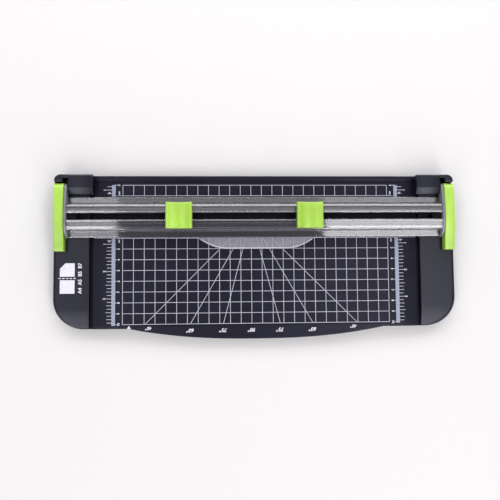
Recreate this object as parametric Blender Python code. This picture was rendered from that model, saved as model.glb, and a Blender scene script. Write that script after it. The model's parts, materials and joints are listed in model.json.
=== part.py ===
"""Rotary paper trimmer, A4 size: a ribbed base with two end covers, a clear press rail that lifts on two rear
hinges, and two spring-loaded rotary cutters that slide along the rail.

Frame: +X to the right, +Y to the rear, +Z up, in metres. The origin is on the table under the middle of the
object's outline. Sizes are written in millimetres times MM.
"""

import math

import bmesh
import bpy
from mathutils import Matrix, Vector

MM = 0.001
GAP = 0.3 * MM  # clearance between two pieces that touch on the real object

# Overall outline
HALF_WIDTH = 188.5 * MM
REAR_Y = 76.5 * MM
FRONT_Y = -66.1 * MM  # front edge of the end covers
BULGE = 10.4 * MM  # how far the rounded apron stands out in front of FRONT_Y
BULGE_HALF = 120.0 * MM
BULGE_POWER = 2.4
FRONT_CORNER = 28.0 * MM
REAR_CORNER = 7.0 * MM
LIP_DEPTH = 5.8 * MM  # raised lip along the rear edge of the bed

# Heights above the table
RIM_Z = 1.8 * MM  # lower edge of the mouldings; the feet stand below it
FLANGE_TOP = 4.8 * MM
DECK_UNDER = 7.4 * MM
BED_TOP = 11.0 * MM
COVER_TOP = 12.6 * MM
LIP_TOP = 13.0 * MM
WALL = 2.4 * MM

# Seams between the bed and the end covers: a groove with a floor of its own
BED_HALF = 152.3 * MM
COVER_INNER = 155.3 * MM
SEAM_FLOOR = 8.6 * MM

# Apron along the front of the bed
APRON_FOLD = FRONT_Y + 2.6 * MM
APRON_SLOPE = 2.2 / 13.0
GROOVE_DEPTH = 0.8 * MM
GROOVE_WIDTH = 0.9 * MM

# Ribs under the bed
RIB_COLUMNS = 9
RIB_ROWS = 4
RIB = 1.8 * MM

# Hinge blocks and corner posts, which stand up from the end covers
CORE_UNDER = RIM_Z + 5.0 * MM  # where the raised parts start inside a cover
BLOCK_INNER = 150.9 * MM
BLOCK_OUTER = 173.6 * MM
BLOCK_FRONT = 57.8 * MM
BLOCK_CREST = 64.0 * MM
BLOCK_SILL = 18.0 * MM  # height at which the front of a block starts to slope back
BLOCK_TOP = 22.0 * MM
POST_INNER = 178.0 * MM
POST_OUTER = HALF_WIDTH - 2.4 * MM
POST_FRONT = 69.4 * MM
BRIDGE_FRONT = 73.4 * MM  # wall behind the arm, between a block and its post

# Cutting line and the strip under it
CUT_Y = 37.2 * MM
STRIP_HALF_WIDTH = 4.2 * MM
STRIP_HALF_LENGTH = 150.9 * MM
STRIP_TOP = BED_TOP - 0.3 * MM
STRIP_UNDER = 9.5 * MM

# Hinge of the rail, along X
HINGE_Y = 63.4 * MM
HINGE_Z = 18.0 * MM
HEEL = 5.0 * MM
PIN_RADIUS = 1.5 * MM
PIN_BORE_END = 160.0 * MM  # inner end of the pin's bore, from the middle

# Rail
PRESS_UNDER = BED_TOP + GAP
PRESS_TOP = PRESS_UNDER + 1.8 * MM
PRESS_FRONT = CUT_Y - 19.2 * MM
PRESS_REAR = CUT_Y + 19.2 * MM
PRESS_HALF_LENGTH = 151.0 * MM
BLADE_SLIT = 5.0 * MM  # half width
TAB_FRONT = CUT_Y - 29.6 * MM
TAB_HALF = 28.0 * MM  # half width of the straight front of the tab
TAB_ROOT = 55.0 * MM  # half width of the tab where it meets the strip
RAIL_HALF_LENGTH = 173.9 * MM
RAIL_UNDER = PRESS_TOP + GAP
RAIL_TOP = BED_TOP + 13.0 * MM
RAIL_WALL = 2.2 * MM
FLANGE_HALF = 18.7 * MM
CHANNEL_HALF = 13.0 * MM  # outside of the channel
SHOULDER = 3.8 * MM
TOP_RISE = 0.4 * MM  # the top climbs this much from the shoulders to the slot
SLOT_HALF = 3.1 * MM
BEAD_WIDTH = 1.8 * MM
BEAD_HEIGHT = 0.8 * MM

# Ends of the rail, measured from the middle
ARM_INNER = 174.2 * MM
ARM_OUTER = 176.6 * MM
CAP_INNER = 177.0 * MM
CAP_OUTER = 186.1 * MM
PLUG_INNER = 165.3 * MM
ARM_UNDER = 13.2 * MM
CROWN_Y = CUT_Y + 2.0 * MM
ARM_CROWN = 25.4 * MM
CAP_CROWN = 23.8 * MM
CAP_CEILING = 20.6 * MM

# Front of an arm and of its green cap, as (distance in front of CUT_Y, height) down to the nose
ARM_FRONT = ((9.0, 24.7), (14.0, 22.6), (17.5, 19.6), (19.2, 17.4), (19.5, 16.4))
CAP_FRONT = ((9.0, 23.4), (15.0, 22.6), (22.0, 21.4), (30.4, 20.9), (31.6, 19.9))
RAIL_SCREWS = {"front": (CUT_Y - 6.5 * MM, 17.4 * MM), "rear": (CUT_Y + 6.5 * MM, 17.4 * MM)}
RAIL_SCREW_HEAD = 2.2 * MM

# Cutters
LEFT_REST_X = -71.5 * MM
RIGHT_REST_X = 48.1 * MM
BLADE_RADIUS = 6.5 * MM
BLADE_HALF_THICKNESS = 0.3 * MM
AXLE_RADIUS = 1.2 * MM
PRESS_TRAVEL = 3.0 * MM
BLADE_Z = STRIP_TOP + 0.1 * MM + PRESS_TRAVEL + BLADE_RADIUS
BLADE_SIDES = 48
TEETH = 20
TOOTH_DEPTH = 0.9 * MM
SHOE_HALF_LENGTH = 12.3 * MM
SHOE_HALF_WIDTH = 10.4 * MM
SHOE_TOP = 21.5 * MM
CHEEK_HALF = 5.5 * MM  # the holder's cheeks, along the rail
CHEEK_OUTER = 2.7 * MM
CHEEK_INNER = 0.7 * MM
HEAD_HALF_LENGTH = 10.0 * MM
HEAD_HALF_WIDTH = 7.5 * MM
HEAD_PLATE = 1.2 * MM
THUMB_HALF = 12.0 * MM
THUMB_UNDER = RAIL_TOP + BEAD_HEIGHT + PRESS_TRAVEL + 0.1 * MM
THUMB_TOP = 34.0 * MM
THUMB_CEILING = 29.6 * MM
THUMB_WALL = 1.6 * MM
THUMB_DISH = 2.4 * MM
HEAD_UNDER = 28.1 * MM
SPRING_X = 8.4 * MM
SPRING_RADIUS = 1.2 * MM
SPRING_WIRE = 0.25 * MM
SPRING_TURNS = 5
SPRING_STEPS = 10  # points in one turn
SPRING_SEAT = 15.5 * MM

# Feet and screws
FOOT_RADIUS = 6.0 * MM
FOOT_PLACES = {
    "front_left": (-168.0 * MM, -40.0 * MM),
    "front_middle": (0.0, -46.0 * MM),
    "front_right": (168.0 * MM, -40.0 * MM),
    "rear_left": (-176.0 * MM, 60.0 * MM),
    "rear_middle": (0.0, 56.0 * MM),
    "rear_right": (176.0 * MM, 60.0 * MM),
}
COVER_SCREWS = {
    "front": (176.0 * MM, -22.0 * MM),
    "middle": (166.0 * MM, 12.0 * MM),
    "rear": (164.0 * MM, 64.0 * MM),
}
SCREW_HEAD = 2.9 * MM
SCREW_SHANK = 1.2 * MM
SCREW_RECESS = 1.6 * MM  # how deep a head is sunk
SCREW_TIP = 9.2 * MM
CROSS_LENGTH = 1.8 * MM
CROSS_WIDTH = 0.4 * MM
BOSS_RADIUS = 3.6 * MM

BLACK_ABS = ((0.022, 0.021, 0.026), 0.42, 0.0)
BED_BLACK = ((0.018, 0.017, 0.022), 0.38, 0.0)
STRIP_BLACK = ((0.008, 0.008, 0.009), 0.6, 0.0)
LIME = ((0.42, 0.76, 0.03), 0.35, 0.0)
CLEAR = ((0.75, 0.76, 0.80), 0.08, 0.0)
GREY_PLASTIC = ((0.24, 0.26, 0.26), 0.3, 0.0)
STEEL = ((0.6, 0.6, 0.62), 0.25, 1.0)
RUBBER = ((0.02, 0.02, 0.02), 0.85, 0.0)

SIDES = ((-1, "left"), (1, "right"))
SPRING_ENDS = {"a": -1, "b": 1}


def clear_scene():
    for obj in list(bpy.data.objects):
        bpy.data.objects.remove(obj, do_unlink=True)


def make_material(name, finish):
    colour, roughness, metallic = finish
    material = bpy.data.materials.new(name)
    material.use_nodes = True
    shader = material.node_tree.nodes["Principled BSDF"]
    shader.inputs["Base Color"].default_value = (*colour, 1.0)
    shader.inputs["Roughness"].default_value = roughness
    shader.inputs["Metallic"].default_value = metallic
    return material


def add_object(name, mesh_builder):
    """A new object from a bmesh, with its faces pointing out."""
    bmesh.ops.recalc_face_normals(mesh_builder, faces=mesh_builder.faces)
    mesh = bpy.data.meshes.new(name)
    mesh_builder.to_mesh(mesh)
    mesh_builder.free()
    obj = bpy.data.objects.new(name, mesh)
    bpy.context.scene.collection.objects.link(obj)
    return obj


def arc(centre, radius, start, end, steps):
    """Points along a round stretch of an outline; the angles are in degrees."""
    angles = [math.radians(start + (end - start) * i / steps) for i in range(steps + 1)]
    return [(centre[0] + radius * math.cos(a), centre[1] + radius * math.sin(a)) for a in angles]


def prism(name, outline, axis, low, high):
    """The outline pushed along an axis: (y, z) points for X, (x, z) for Y and (x, y) for Z."""
    places = {
        "X": lambda p, h: (h, p[0], p[1]),
        "Y": lambda p, h: (p[0], h, p[1]),
        "Z": lambda p, h: (p[0], p[1], h),
    }
    builder = bmesh.new()
    loops = [[builder.verts.new(places[axis](p, h)) for p in outline] for h in (low, high)]
    for loop in loops:
        builder.faces.new(loop)
    for i in range(len(outline)):
        j = (i + 1) % len(outline)
        builder.faces.new((loops[0][i], loops[0][j], loops[1][j], loops[1][i]))
    return add_object(name, builder)


def box(name, low, high):
    (x0, y0, z0), (x1, y1, z1) = low, high
    return prism(name, [(x0, y0), (x1, y0), (x1, y1), (x0, y1)], "Z", z0, z1)


def rod(name, axis, centre, radius, low, high, sides=24):
    """A cylinder along an axis; centre is the two coordinates across it."""
    return prism(name, arc(centre, radius, 0, 360 - 360 / sides, sides - 1), axis, low, high)


def height_solid(name, rows, shares, span, top, bottom):
    """A solid with a modelled top: at each y in rows it runs across span(y), and its height is top(x, y)."""
    builder = bmesh.new()
    upper, lower = [], []
    for y in rows:
        x0, x1 = span(y)
        across = [x0 + (x1 - x0) * share for share in shares]
        upper.append([builder.verts.new((x, y, top(x, y))) for x in across])
        lower.append([builder.verts.new((x, y, bottom)) for x in across])
    last_row, last = len(rows) - 1, len(shares) - 1
    for i in range(last_row):
        for j in range(last):
            builder.faces.new((upper[i][j], upper[i][j + 1], upper[i + 1][j + 1], upper[i + 1][j]))
            builder.faces.new((lower[i][j], lower[i + 1][j], lower[i + 1][j + 1], lower[i][j + 1]))
        for j in (0, last):
            builder.faces.new((upper[i][j], upper[i + 1][j], lower[i + 1][j], lower[i][j]))
    for i in (0, last_row):
        for j in range(last):
            builder.faces.new((upper[i][j], upper[i][j + 1], lower[i][j + 1], lower[i][j]))
    return add_object(name, builder)


def apply_tool(target, tools, operation):
    """Cuts the tools from the target, or joins them to it. The tools stay in the file as hidden helpers."""
    for tool in tools:
        modifier = target.modifiers.new(tool.name, "BOOLEAN")
        modifier.operation = operation
        modifier.solver = "EXACT"
        modifier.object = tool
        tool.hide_render = True
        tool.display_type = "WIRE"


def cut(target, *tools):
    apply_tool(target, tools, "DIFFERENCE")


def join(target, *tools):
    apply_tool(target, tools, "UNION")


def round_edges(obj, width, segments=2):
    modifier = obj.modifiers.new("rounded_edges", "BEVEL")
    modifier.width = width
    modifier.segments = segments
    modifier.limit_method = "ANGLE"
    modifier.angle_limit = math.radians(40)
    return obj


def finish(obj, material, origin, parent=None):
    """Gives a piece its material, its origin (a point in the row frame) and its parent, without moving it."""
    obj.data.materials.append(material)
    obj.data.transform(Matrix.Translation(-Vector(origin)))
    obj.location = Vector(origin)
    if parent is not None:
        obj.location -= joint_place(parent)
        obj.parent = parent
    if obj.type == "MESH":
        obj.data.shade_smooth()
        obj.data.set_sharp_from_angle(angle=math.radians(35))
    return obj


def joint_place(empty):
    """An empty's place in the row frame, through its parents."""
    place = Vector(empty.location)
    return place + joint_place(empty.parent) if empty.parent else place


def add_joint_empty(name, place, parent=None):
    empty = bpy.data.objects.new(name, None)
    empty.location = Vector(place) - (joint_place(parent) if parent else Vector())
    empty.parent = parent
    bpy.context.scene.collection.objects.link(empty)
    return empty


def mirrored(points, side):
    return [(side * x, y) for x, y in points]


def bulge_front(x):
    """Front edge of the bed: straight at the ends, with the apron's bulge between them."""
    share = min(abs(x) / BULGE_HALF, 1.0)
    return FRONT_Y - BULGE * (1 - share**BULGE_POWER)


def bed_outline(steps=36):
    front = [-BED_HALF, *(-BULGE_HALF + 2 * BULGE_HALF * i / steps for i in range(steps + 1)), BED_HALF]
    return [(x, bulge_front(x)) for x in front] + [(BED_HALF, REAR_Y), (-BED_HALF, REAR_Y)]


def end_outline(inner, inset, side):
    """Plan of one end of the base, from the inner seam outwards, drawn in along its free edges."""
    outer, front, rear = HALF_WIDTH - inset, FRONT_Y + inset, REAR_Y - inset
    front_centre = (HALF_WIDTH - FRONT_CORNER, FRONT_Y + FRONT_CORNER)
    rear_radius = max(REAR_CORNER - inset, 1.0 * MM)
    points = [(inner, front)]
    points += arc(front_centre, FRONT_CORNER - inset, -90, 0, 10)
    points += arc((outer - rear_radius, rear - rear_radius), rear_radius, 0, 90, 4)
    points += [(inner, rear)]
    return mirrored(points, side)


def rib_cells():
    """The hollows between the ribs under the bed, as one helper of separate boxes."""
    width = 2 * (BED_HALF - WALL) / RIB_COLUMNS
    depth = (REAR_Y - WALL - (FRONT_Y + WALL)) / RIB_ROWS
    builder = bmesh.new()
    for i in range(RIB_COLUMNS):
        for j in range(RIB_ROWS):
            x = -BED_HALF + WALL + width * (i + 0.5)
            y = FRONT_Y + WALL + depth * (j + 0.5)
            size = (width - RIB, depth - RIB, DECK_UNDER, 1)
            matrix = Matrix.Translation((x, y, DECK_UNDER / 2)) @ Matrix.Diagonal(size)
            bmesh.ops.create_cube(builder, size=1.0, matrix=matrix)
    return add_object("rib_cells", builder)


def apron_cutters():
    """The slope that lowers the apron, and the groove along its fold."""
    reach = BED_HALF + 1 * MM
    far = FRONT_Y - 2 * BULGE
    above = BED_TOP + 5 * MM
    drop = APRON_SLOPE * (APRON_FOLD - far)
    slope = [(APRON_FOLD, BED_TOP), (far, BED_TOP - drop), (far, above), (APRON_FOLD, above)]
    front = APRON_FOLD + 0.1 * MM
    rear, floor = front + GROOVE_WIDTH, BED_TOP - GROOVE_DEPTH
    groove = [(front, above), (front, floor), (rear, floor), (rear, above)]
    groove_reach = BULGE_HALF + 3 * MM
    return (
        prism("apron_slope", slope, "X", -reach, reach),
        prism("apron_groove", groove, "X", -groove_reach, groove_reach),
    )


def base_tray(material):
    tray = round_edges(prism("base_tray", bed_outline(), "Z", RIM_Z, BED_TOP), 0.5 * MM, 1)
    cut(tray, rib_cells())
    for side, word in SIDES:
        outline = end_outline(BED_HALF - 4 * MM, WALL + 0.5 * MM, side)
        join(tray, prism(f"{word}_flange", outline, "Z", RIM_Z, FLANGE_TOP))
        x0, x1 = sorted((side * (BED_HALF - 1 * MM), side * (COVER_INNER - GAP)))
        low, high = (x0, FRONT_Y + 0.8 * MM, RIM_Z), (x1, REAR_Y - 0.8 * MM, SEAM_FLOOR)
        join(tray, box(f"{word}_seam_floor", low, high))
    lip_front = REAR_Y - LIP_DEPTH
    lip = [
        (lip_front, BED_TOP - 1 * MM),
        (lip_front, BED_TOP + 0.2 * MM),
        (lip_front + 2.4 * MM, LIP_TOP),
        (REAR_Y - 0.8 * MM, LIP_TOP),
        (REAR_Y, LIP_TOP - 0.8 * MM),
        (REAR_Y, BED_TOP - 1 * MM),
    ]
    join(tray, prism("rear_lip", lip, "X", -BED_HALF, BED_HALF))
    boss_radius = FOOT_RADIUS + 2 * MM
    for word in ("front_middle", "rear_middle"):
        join(tray, rod(f"{word}_boss", "Z", FOOT_PLACES[word], boss_radius, RIM_Z, BED_TOP - 1 * MM))
    strip_seat = box(
        "strip_seat",
        (-BED_HALF - 1 * MM, CUT_Y - STRIP_HALF_WIDTH - GAP, STRIP_UNDER - GAP),
        (BED_HALF + 1 * MM, CUT_Y + STRIP_HALF_WIDTH + GAP, BED_TOP + 1 * MM),
    )
    cut(tray, *apron_cutters(), strip_seat)
    for side, word in SIDES:
        for place, (x, y) in COVER_SCREWS.items():
            name, centre = f"{word}_{place}", (side * x, y)
            hole = rod(f"{name}_hole", "Z", centre, SCREW_SHANK + 0.4 * MM, 0, FLANGE_TOP + 1 * MM, 16)
            recess = rod(f"{name}_recess", "Z", centre, SCREW_HEAD + 0.4 * MM, 0, RIM_Z + SCREW_RECESS, 16)
            cut(tray, hole, recess)
    return finish(tray, material, (0, 0, 0))


def cutting_strip(material):
    low = (-STRIP_HALF_LENGTH, CUT_Y - STRIP_HALF_WIDTH, STRIP_UNDER)
    high = (STRIP_HALF_LENGTH, CUT_Y + STRIP_HALF_WIDTH, STRIP_TOP)
    strip = round_edges(box("cutting_strip", low, high), 0.2 * MM, 1)
    return finish(strip, material, (0, CUT_Y, STRIP_UNDER))


def foot(word, material):
    x, y = FOOT_PLACES[word]
    piece = round_edges(rod(f"{word}_foot", "Z", (x, y), FOOT_RADIUS, 0, RIM_Z - GAP), 0.3 * MM, 1)
    return finish(piece, material, (x, y, 0))


def round_drop(distance, radius):
    """How far a surface falls at a distance from an edge that is rounded with this radius."""
    if distance >= radius:
        return 0.0
    return radius - math.sqrt(radius**2 - (radius - max(distance, 0.0)) ** 2)


def cover_top(x, y):
    """Height of an end cover: flat, rounded along its free edges, and falling away towards the front."""
    x = abs(x)
    edge = min(HALF_WIDTH - x, y - FRONT_Y, REAR_Y - y)
    centre = (HALF_WIDTH - FRONT_CORNER, FRONT_Y + FRONT_CORNER)
    if x > centre[0] and y < centre[1]:
        edge = FRONT_CORNER - math.hypot(x - centre[0], y - centre[1])
    rear = (HALF_WIDTH - REAR_CORNER, REAR_Y - REAR_CORNER)
    if x > rear[0] and y > rear[1]:
        edge = REAR_CORNER - math.hypot(x - rear[0], y - rear[1])
    fall_start, fall = -46 * MM, 2.6 * MM
    share = max(fall_start - y, 0.0) / (fall_start - FRONT_Y)
    return COVER_TOP - fall * share**2 - round_drop(edge, 2.5 * MM) - round_drop(x - COVER_INNER, 0.5 * MM)


def cover_span(side):
    """The cover's reach across X at each y, for height_solid."""

    def span(y):
        outer = HALF_WIDTH
        if y < FRONT_Y + FRONT_CORNER:
            run = FRONT_CORNER**2 - (FRONT_Y + FRONT_CORNER - y) ** 2
            outer += math.sqrt(max(run, 0)) - FRONT_CORNER
        if y > REAR_Y - REAR_CORNER:
            run = REAR_CORNER**2 - (y - REAR_Y + REAR_CORNER) ** 2
            outer += math.sqrt(max(run, 0)) - REAR_CORNER
        return side * COVER_INNER, side * max(outer, COVER_INNER + 1.2 * MM)

    return span


def hinge_block(word, side):
    """Raised block that holds the hinge pin. Its inner end reaches over the seam, clear of the bed's lip."""
    profile = [
        (BLOCK_FRONT, CORE_UNDER),
        (BLOCK_FRONT, BLOCK_SILL),
        (BLOCK_CREST, BLOCK_TOP),
        (REAR_Y - 1.2 * MM, BLOCK_TOP),
        (REAR_Y, BLOCK_TOP - 1.2 * MM),
        (REAR_Y, CORE_UNDER),
    ]
    block = prism(f"{word}_hinge_block", profile, "X", *sorted((side * BLOCK_INNER, side * BLOCK_OUTER)))
    x0, x1 = sorted((side * (BLOCK_INNER - 1 * MM), side * (COVER_INNER + 0.4 * MM)))
    low, high = (x0, BLOCK_FRONT - 1 * MM, 0), (x1, REAR_Y + 1 * MM, LIP_TOP + 0.4 * MM)
    cut(round_edges(block, 0.8 * MM, 1), box(f"{word}_seam_room", low, high))
    return block


def corner_post(word, side):
    """Post behind the end cap, and the wall that ties it to the hinge block behind the arm."""
    corner = REAR_CORNER - 1.0 * MM
    outline = [(POST_INNER, POST_FRONT), (POST_OUTER, POST_FRONT)]
    outline += arc((POST_OUTER - corner, REAR_Y - corner), corner, 0, 90, 5)
    outline.append((POST_INNER, REAR_Y))
    post = prism(f"{word}_corner_post", mirrored(outline, side), "Z", CORE_UNDER, BLOCK_TOP)
    x0, x1 = sorted((side * (BLOCK_OUTER - 2 * MM), side * (POST_INNER + 2 * MM)))
    low, high = (x0, BRIDGE_FRONT, CORE_UNDER), (x1, REAR_Y - 0.1 * MM, BLOCK_TOP - 0.3 * MM)
    return round_edges(post, 0.8 * MM), box(f"{word}_rear_bridge", low, high)


def end_cover(word, side, material):
    turns = (0, 8, 16, 24, 34, 46, 60, 75, 90)
    rows = [FRONT_Y + FRONT_CORNER * (1 - math.cos(math.radians(a))) for a in turns]
    rows += [REAR_Y - REAR_CORNER * (1 - math.sin(math.radians(a))) for a in (0, 25, 45, 65, 90)]
    shares = (0.0, 0.015, 0.5, 0.86, 0.925, 0.965, 0.985, 1.0)
    cover = height_solid(f"{word}_end_cover", rows, shares, cover_span(side), cover_top, RIM_Z)
    x0, x1 = sorted((side * (COVER_INNER + WALL), side * (HALF_WIDTH - WALL - 5.0 * MM)))
    low, high = (x0, FRONT_Y + 18 * MM, 0), (x1, 50 * MM, COVER_TOP - WALL)
    flange_room = end_outline(COVER_INNER - 2 * MM, WALL, side)
    cut(
        cover,
        prism(f"{word}_flange_hollow", flange_room, "Z", 0, FLANGE_TOP + GAP),
        box(f"{word}_main_hollow", low, high),
    )
    join(cover, hinge_block(word, side), *corner_post(word, side))
    for place, (x, y) in COVER_SCREWS.items():
        name, centre = f"{word}_{place}_boss", (side * x, y)
        join(cover, rod(name, "Z", centre, BOSS_RADIUS, FLANGE_TOP + GAP, COVER_TOP - 1 * MM, 16))
        cut(cover, rod(f"{name}_pilot", "Z", centre, SCREW_SHANK + 0.2 * MM, 0, SCREW_TIP + 0.4 * MM, 12))
    pin_ends = sorted((side * PIN_BORE_END, side * 180 * MM))
    cut(cover, rod(f"{word}_pin_hole", "X", (HINGE_Y, HINGE_Z), PIN_RADIUS + 0.2 * MM, *pin_ends, 16))
    return finish(cover, material, (side * COVER_INNER, 0, RIM_Z))


def cover_screw(word, side, place, material):
    x, y = COVER_SCREWS[place]
    centre = (side * x, y)
    head_low, head_high = RIM_Z + 0.1 * MM, RIM_Z + 1.3 * MM
    screw = rod(f"{word}_{place}_screw", "Z", centre, SCREW_HEAD, head_low, head_high, 16)
    join(screw, rod(f"{word}_{place}_shank", "Z", centre, SCREW_SHANK, RIM_Z + 1 * MM, SCREW_TIP, 10))
    for turn, half_x, half_y in (("a", CROSS_WIDTH, CROSS_LENGTH), ("b", CROSS_LENGTH, CROSS_WIDTH)):
        low = (centre[0] - half_x, y - half_y, 0)
        high = (centre[0] + half_x, y + half_y, head_low + 0.7 * MM)
        cut(screw, box(f"{word}_{place}_cross_{turn}", low, high))
    return finish(screw, material, (*centre, head_low))


def rail_half_outline():
    """Half of the clear rail's section, as (distance from the cutting line, height)."""
    top, under, flange_top = RAIL_TOP, RAIL_UNDER, RAIL_UNDER + 2 * MM
    inner, small = CHANNEL_HALF - RAIL_WALL, SHOULDER - RAIL_WALL
    half = [(inner, under), (FLANGE_HALF, under), (FLANGE_HALF, flange_top), (CHANNEL_HALF, flange_top)]
    half += arc((CHANNEL_HALF - SHOULDER, top - SHOULDER), SHOULDER, 0, 90, 6)
    bead = SLOT_HALF + BEAD_WIDTH
    half += [(bead, top + TOP_RISE), (bead - 0.4 * MM, top + BEAD_HEIGHT)]
    half += [(SLOT_HALF + 0.4 * MM, top + BEAD_HEIGHT), (SLOT_HALF, top), (SLOT_HALF, top - RAIL_WALL)]
    half += arc((inner - small, top - RAIL_WALL - small), small, 90, 0, 4)
    return half


def guide_rail(material, hinge):
    """Front and rear halves of the channel, joined by a bridge at each end of the slot."""
    half = rail_half_outline()
    rear = [(CUT_Y + y, z) for y, z in half]
    front = [(CUT_Y - y, z) for y, z in half]
    rail = prism("guide_rail", rear, "X", -RAIL_HALF_LENGTH, RAIL_HALF_LENGTH)
    join(rail, prism("guide_rail_front", front, "X", -RAIL_HALF_LENGTH, RAIL_HALF_LENGTH))
    bridge_y = SLOT_HALF + 1 * MM
    for side, word in SIDES:
        xs = sorted((side * (RAIL_HALF_LENGTH - 2.5 * MM), side * RAIL_HALF_LENGTH))
        low = (xs[0], CUT_Y - bridge_y, RAIL_TOP - RAIL_WALL + 0.3 * MM)
        high = (xs[1], CUT_Y + bridge_y, RAIL_TOP - 0.2 * MM)
        join(rail, box(f"{word}_rail_bridge", low, high))
    return finish(rail, material, (0, HINGE_Y, HINGE_Z), hinge)


def press_strip(word, outline, material, hinge):
    piece = prism(f"{word}_press_strip", outline, "Z", PRESS_UNDER, PRESS_TOP)
    return finish(round_edges(piece, 0.3 * MM, 1), material, (0, HINGE_Y, HINGE_Z), hinge)


def front_press_outline():
    """The strip in front of the cutting line, with the finger tab in the middle of its front edge."""
    steps, depth = 6, PRESS_FRONT - TAB_FRONT
    shares = [i / steps for i in range(steps + 1)]
    tab = [(-TAB_ROOT + (TAB_ROOT - TAB_HALF) * s, PRESS_FRONT - depth * s * (2 - s)) for s in shares]
    tab += [(-x, y) for x, y in reversed(tab)]
    end, rear = PRESS_HALF_LENGTH, CUT_Y - BLADE_SLIT
    return [(-end, PRESS_FRONT), *tab, (end, PRESS_FRONT), (end, rear), (-end, rear)]


def rear_press_outline():
    end = PRESS_HALF_LENGTH
    low, high = CUT_Y + BLADE_SLIT, PRESS_REAR
    return [(-end, low), (end, low), (end, high), (-end, high)]


def arm_profile(heel, crown, front_run):
    """Side view (y, z) of an end arm: a round heel on the hinge, an arched back, and the given front."""
    points = arc((HINGE_Y, HINGE_Z), heel, -90, 90, 8)
    steps, shoulder = 6, HINGE_Z + heel
    for i in range(1, steps + 1):
        share = i / steps
        y = HINGE_Y + (CROWN_Y - HINGE_Y) * share
        points.append((y, shoulder + (crown - shoulder) * math.sin(share * math.pi / 2)))
    points += [(CUT_Y - y * MM, z * MM) for y, z in front_run]
    front = points[-1][0]
    return [*points, (front, ARM_UNDER + 0.6 * MM), (front + 0.6 * MM, ARM_UNDER)]


def end_arm(word, side, material, hinge):
    """Hinge arm: the plate that closes the rail's end and turns on the pin."""
    profile = arm_profile(HEEL - 0.4 * MM, ARM_CROWN, ARM_FRONT)
    xs = sorted((side * ARM_INNER, side * ARM_OUTER))
    arm = round_edges(prism(f"{word}_hinge_arm", profile, "X", *xs), 0.3 * MM, 1)
    ends = sorted((side * (ARM_INNER - 1 * MM), side * (ARM_OUTER + 1 * MM)))
    cut(arm, rod(f"{word}_arm_bore", "X", (HINGE_Y, HINGE_Z), PIN_RADIUS + 0.15 * MM, *ends, 20))
    for place, centre in RAIL_SCREWS.items():
        cut(arm, rod(f"{word}_{place}_arm_hole", "X", centre, SCREW_SHANK + 0.2 * MM, *ends, 12))
    return finish(arm, material, (side * ARM_OUTER, HINGE_Y, HINGE_Z), hinge)


def end_cap(word, side, material, hinge):
    """Green end cap over the arm: a shell open on its inner side, with a lifting nose at the front."""
    xs = sorted((side * CAP_INNER, side * CAP_OUTER))
    profile = arm_profile(HEEL, CAP_CROWN, CAP_FRONT)
    cap = round_edges(prism(f"{word}_end_cap", profile, "X", *xs), 0.9 * MM, 2)
    front, rear, floor = CUT_Y - 13 * MM, HINGE_Y - 1.5 * MM, ARM_UNDER + 1.6 * MM
    hollow = [(front, floor), (rear, floor), (rear, CAP_CEILING), (front + 4 * MM, CAP_CEILING)]
    ends = sorted((side * (CAP_INNER - 1 * MM), side * (CAP_OUTER - 2.2 * MM)))
    cut(cap, prism(f"{word}_cap_hollow", hollow, "X", *ends))
    return finish(cap, material, (side * CAP_INNER, HINGE_Y, HINGE_Z), hinge)


def rail_plug(word, side, material, hinge):
    """Plug in the end of the channel: it takes the arm's screws and stops the cutters."""
    half, top = CHANNEL_HALF - RAIL_WALL - GAP, RAIL_TOP - RAIL_WALL - GAP
    small = SHOULDER - RAIL_WALL
    outline = [(CUT_Y - half, RAIL_UNDER), (CUT_Y + half, RAIL_UNDER)]
    outline += arc((CUT_Y + half - small, top - small), small, 0, 90, 4)
    outline += arc((CUT_Y - half + small, top - small), small, 90, 180, 4)
    xs = sorted((side * PLUG_INNER, side * RAIL_HALF_LENGTH))
    plug = prism(f"{word}_rail_plug", outline, "X", *xs)
    for place, centre in RAIL_SCREWS.items():
        ends = sorted((side * (PLUG_INNER + 1.5 * MM), side * (RAIL_HALF_LENGTH + 2 * MM)))
        cut(plug, rod(f"{word}_{place}_plug_hole", "X", centre, SCREW_SHANK + 0.2 * MM, *ends, 12))
    return finish(plug, material, (side * PLUG_INNER, HINGE_Y, HINGE_Z), hinge)


def rail_screw(word, side, place, material, hinge):
    centre = RAIL_SCREWS[place]
    head = sorted((side * (ARM_OUTER + 0.1 * MM), side * (ARM_OUTER + 1.6 * MM)))
    shank = sorted((side * (ARM_OUTER + 0.5 * MM), side * (PLUG_INNER + 2.5 * MM)))
    screw = rod(f"{word}_{place}_rail_screw", "X", centre, RAIL_SCREW_HEAD, *head, 16)
    join(screw, rod(f"{word}_{place}_rail_shank", "X", centre, SCREW_SHANK, *shank, 10))
    return finish(screw, material, (side * ARM_OUTER, *centre), hinge)


def hinge_pin(word, side, material):
    ends = sorted((side * (PIN_BORE_END + 0.6 * MM), side * (ARM_OUTER + 0.2 * MM)))
    pin = rod(f"{word}_hinge_pin", "X", (HINGE_Y, HINGE_Z), PIN_RADIUS, *ends, 20)
    return finish(pin, material, (side * ARM_INNER, HINGE_Y, HINGE_Z))


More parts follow.
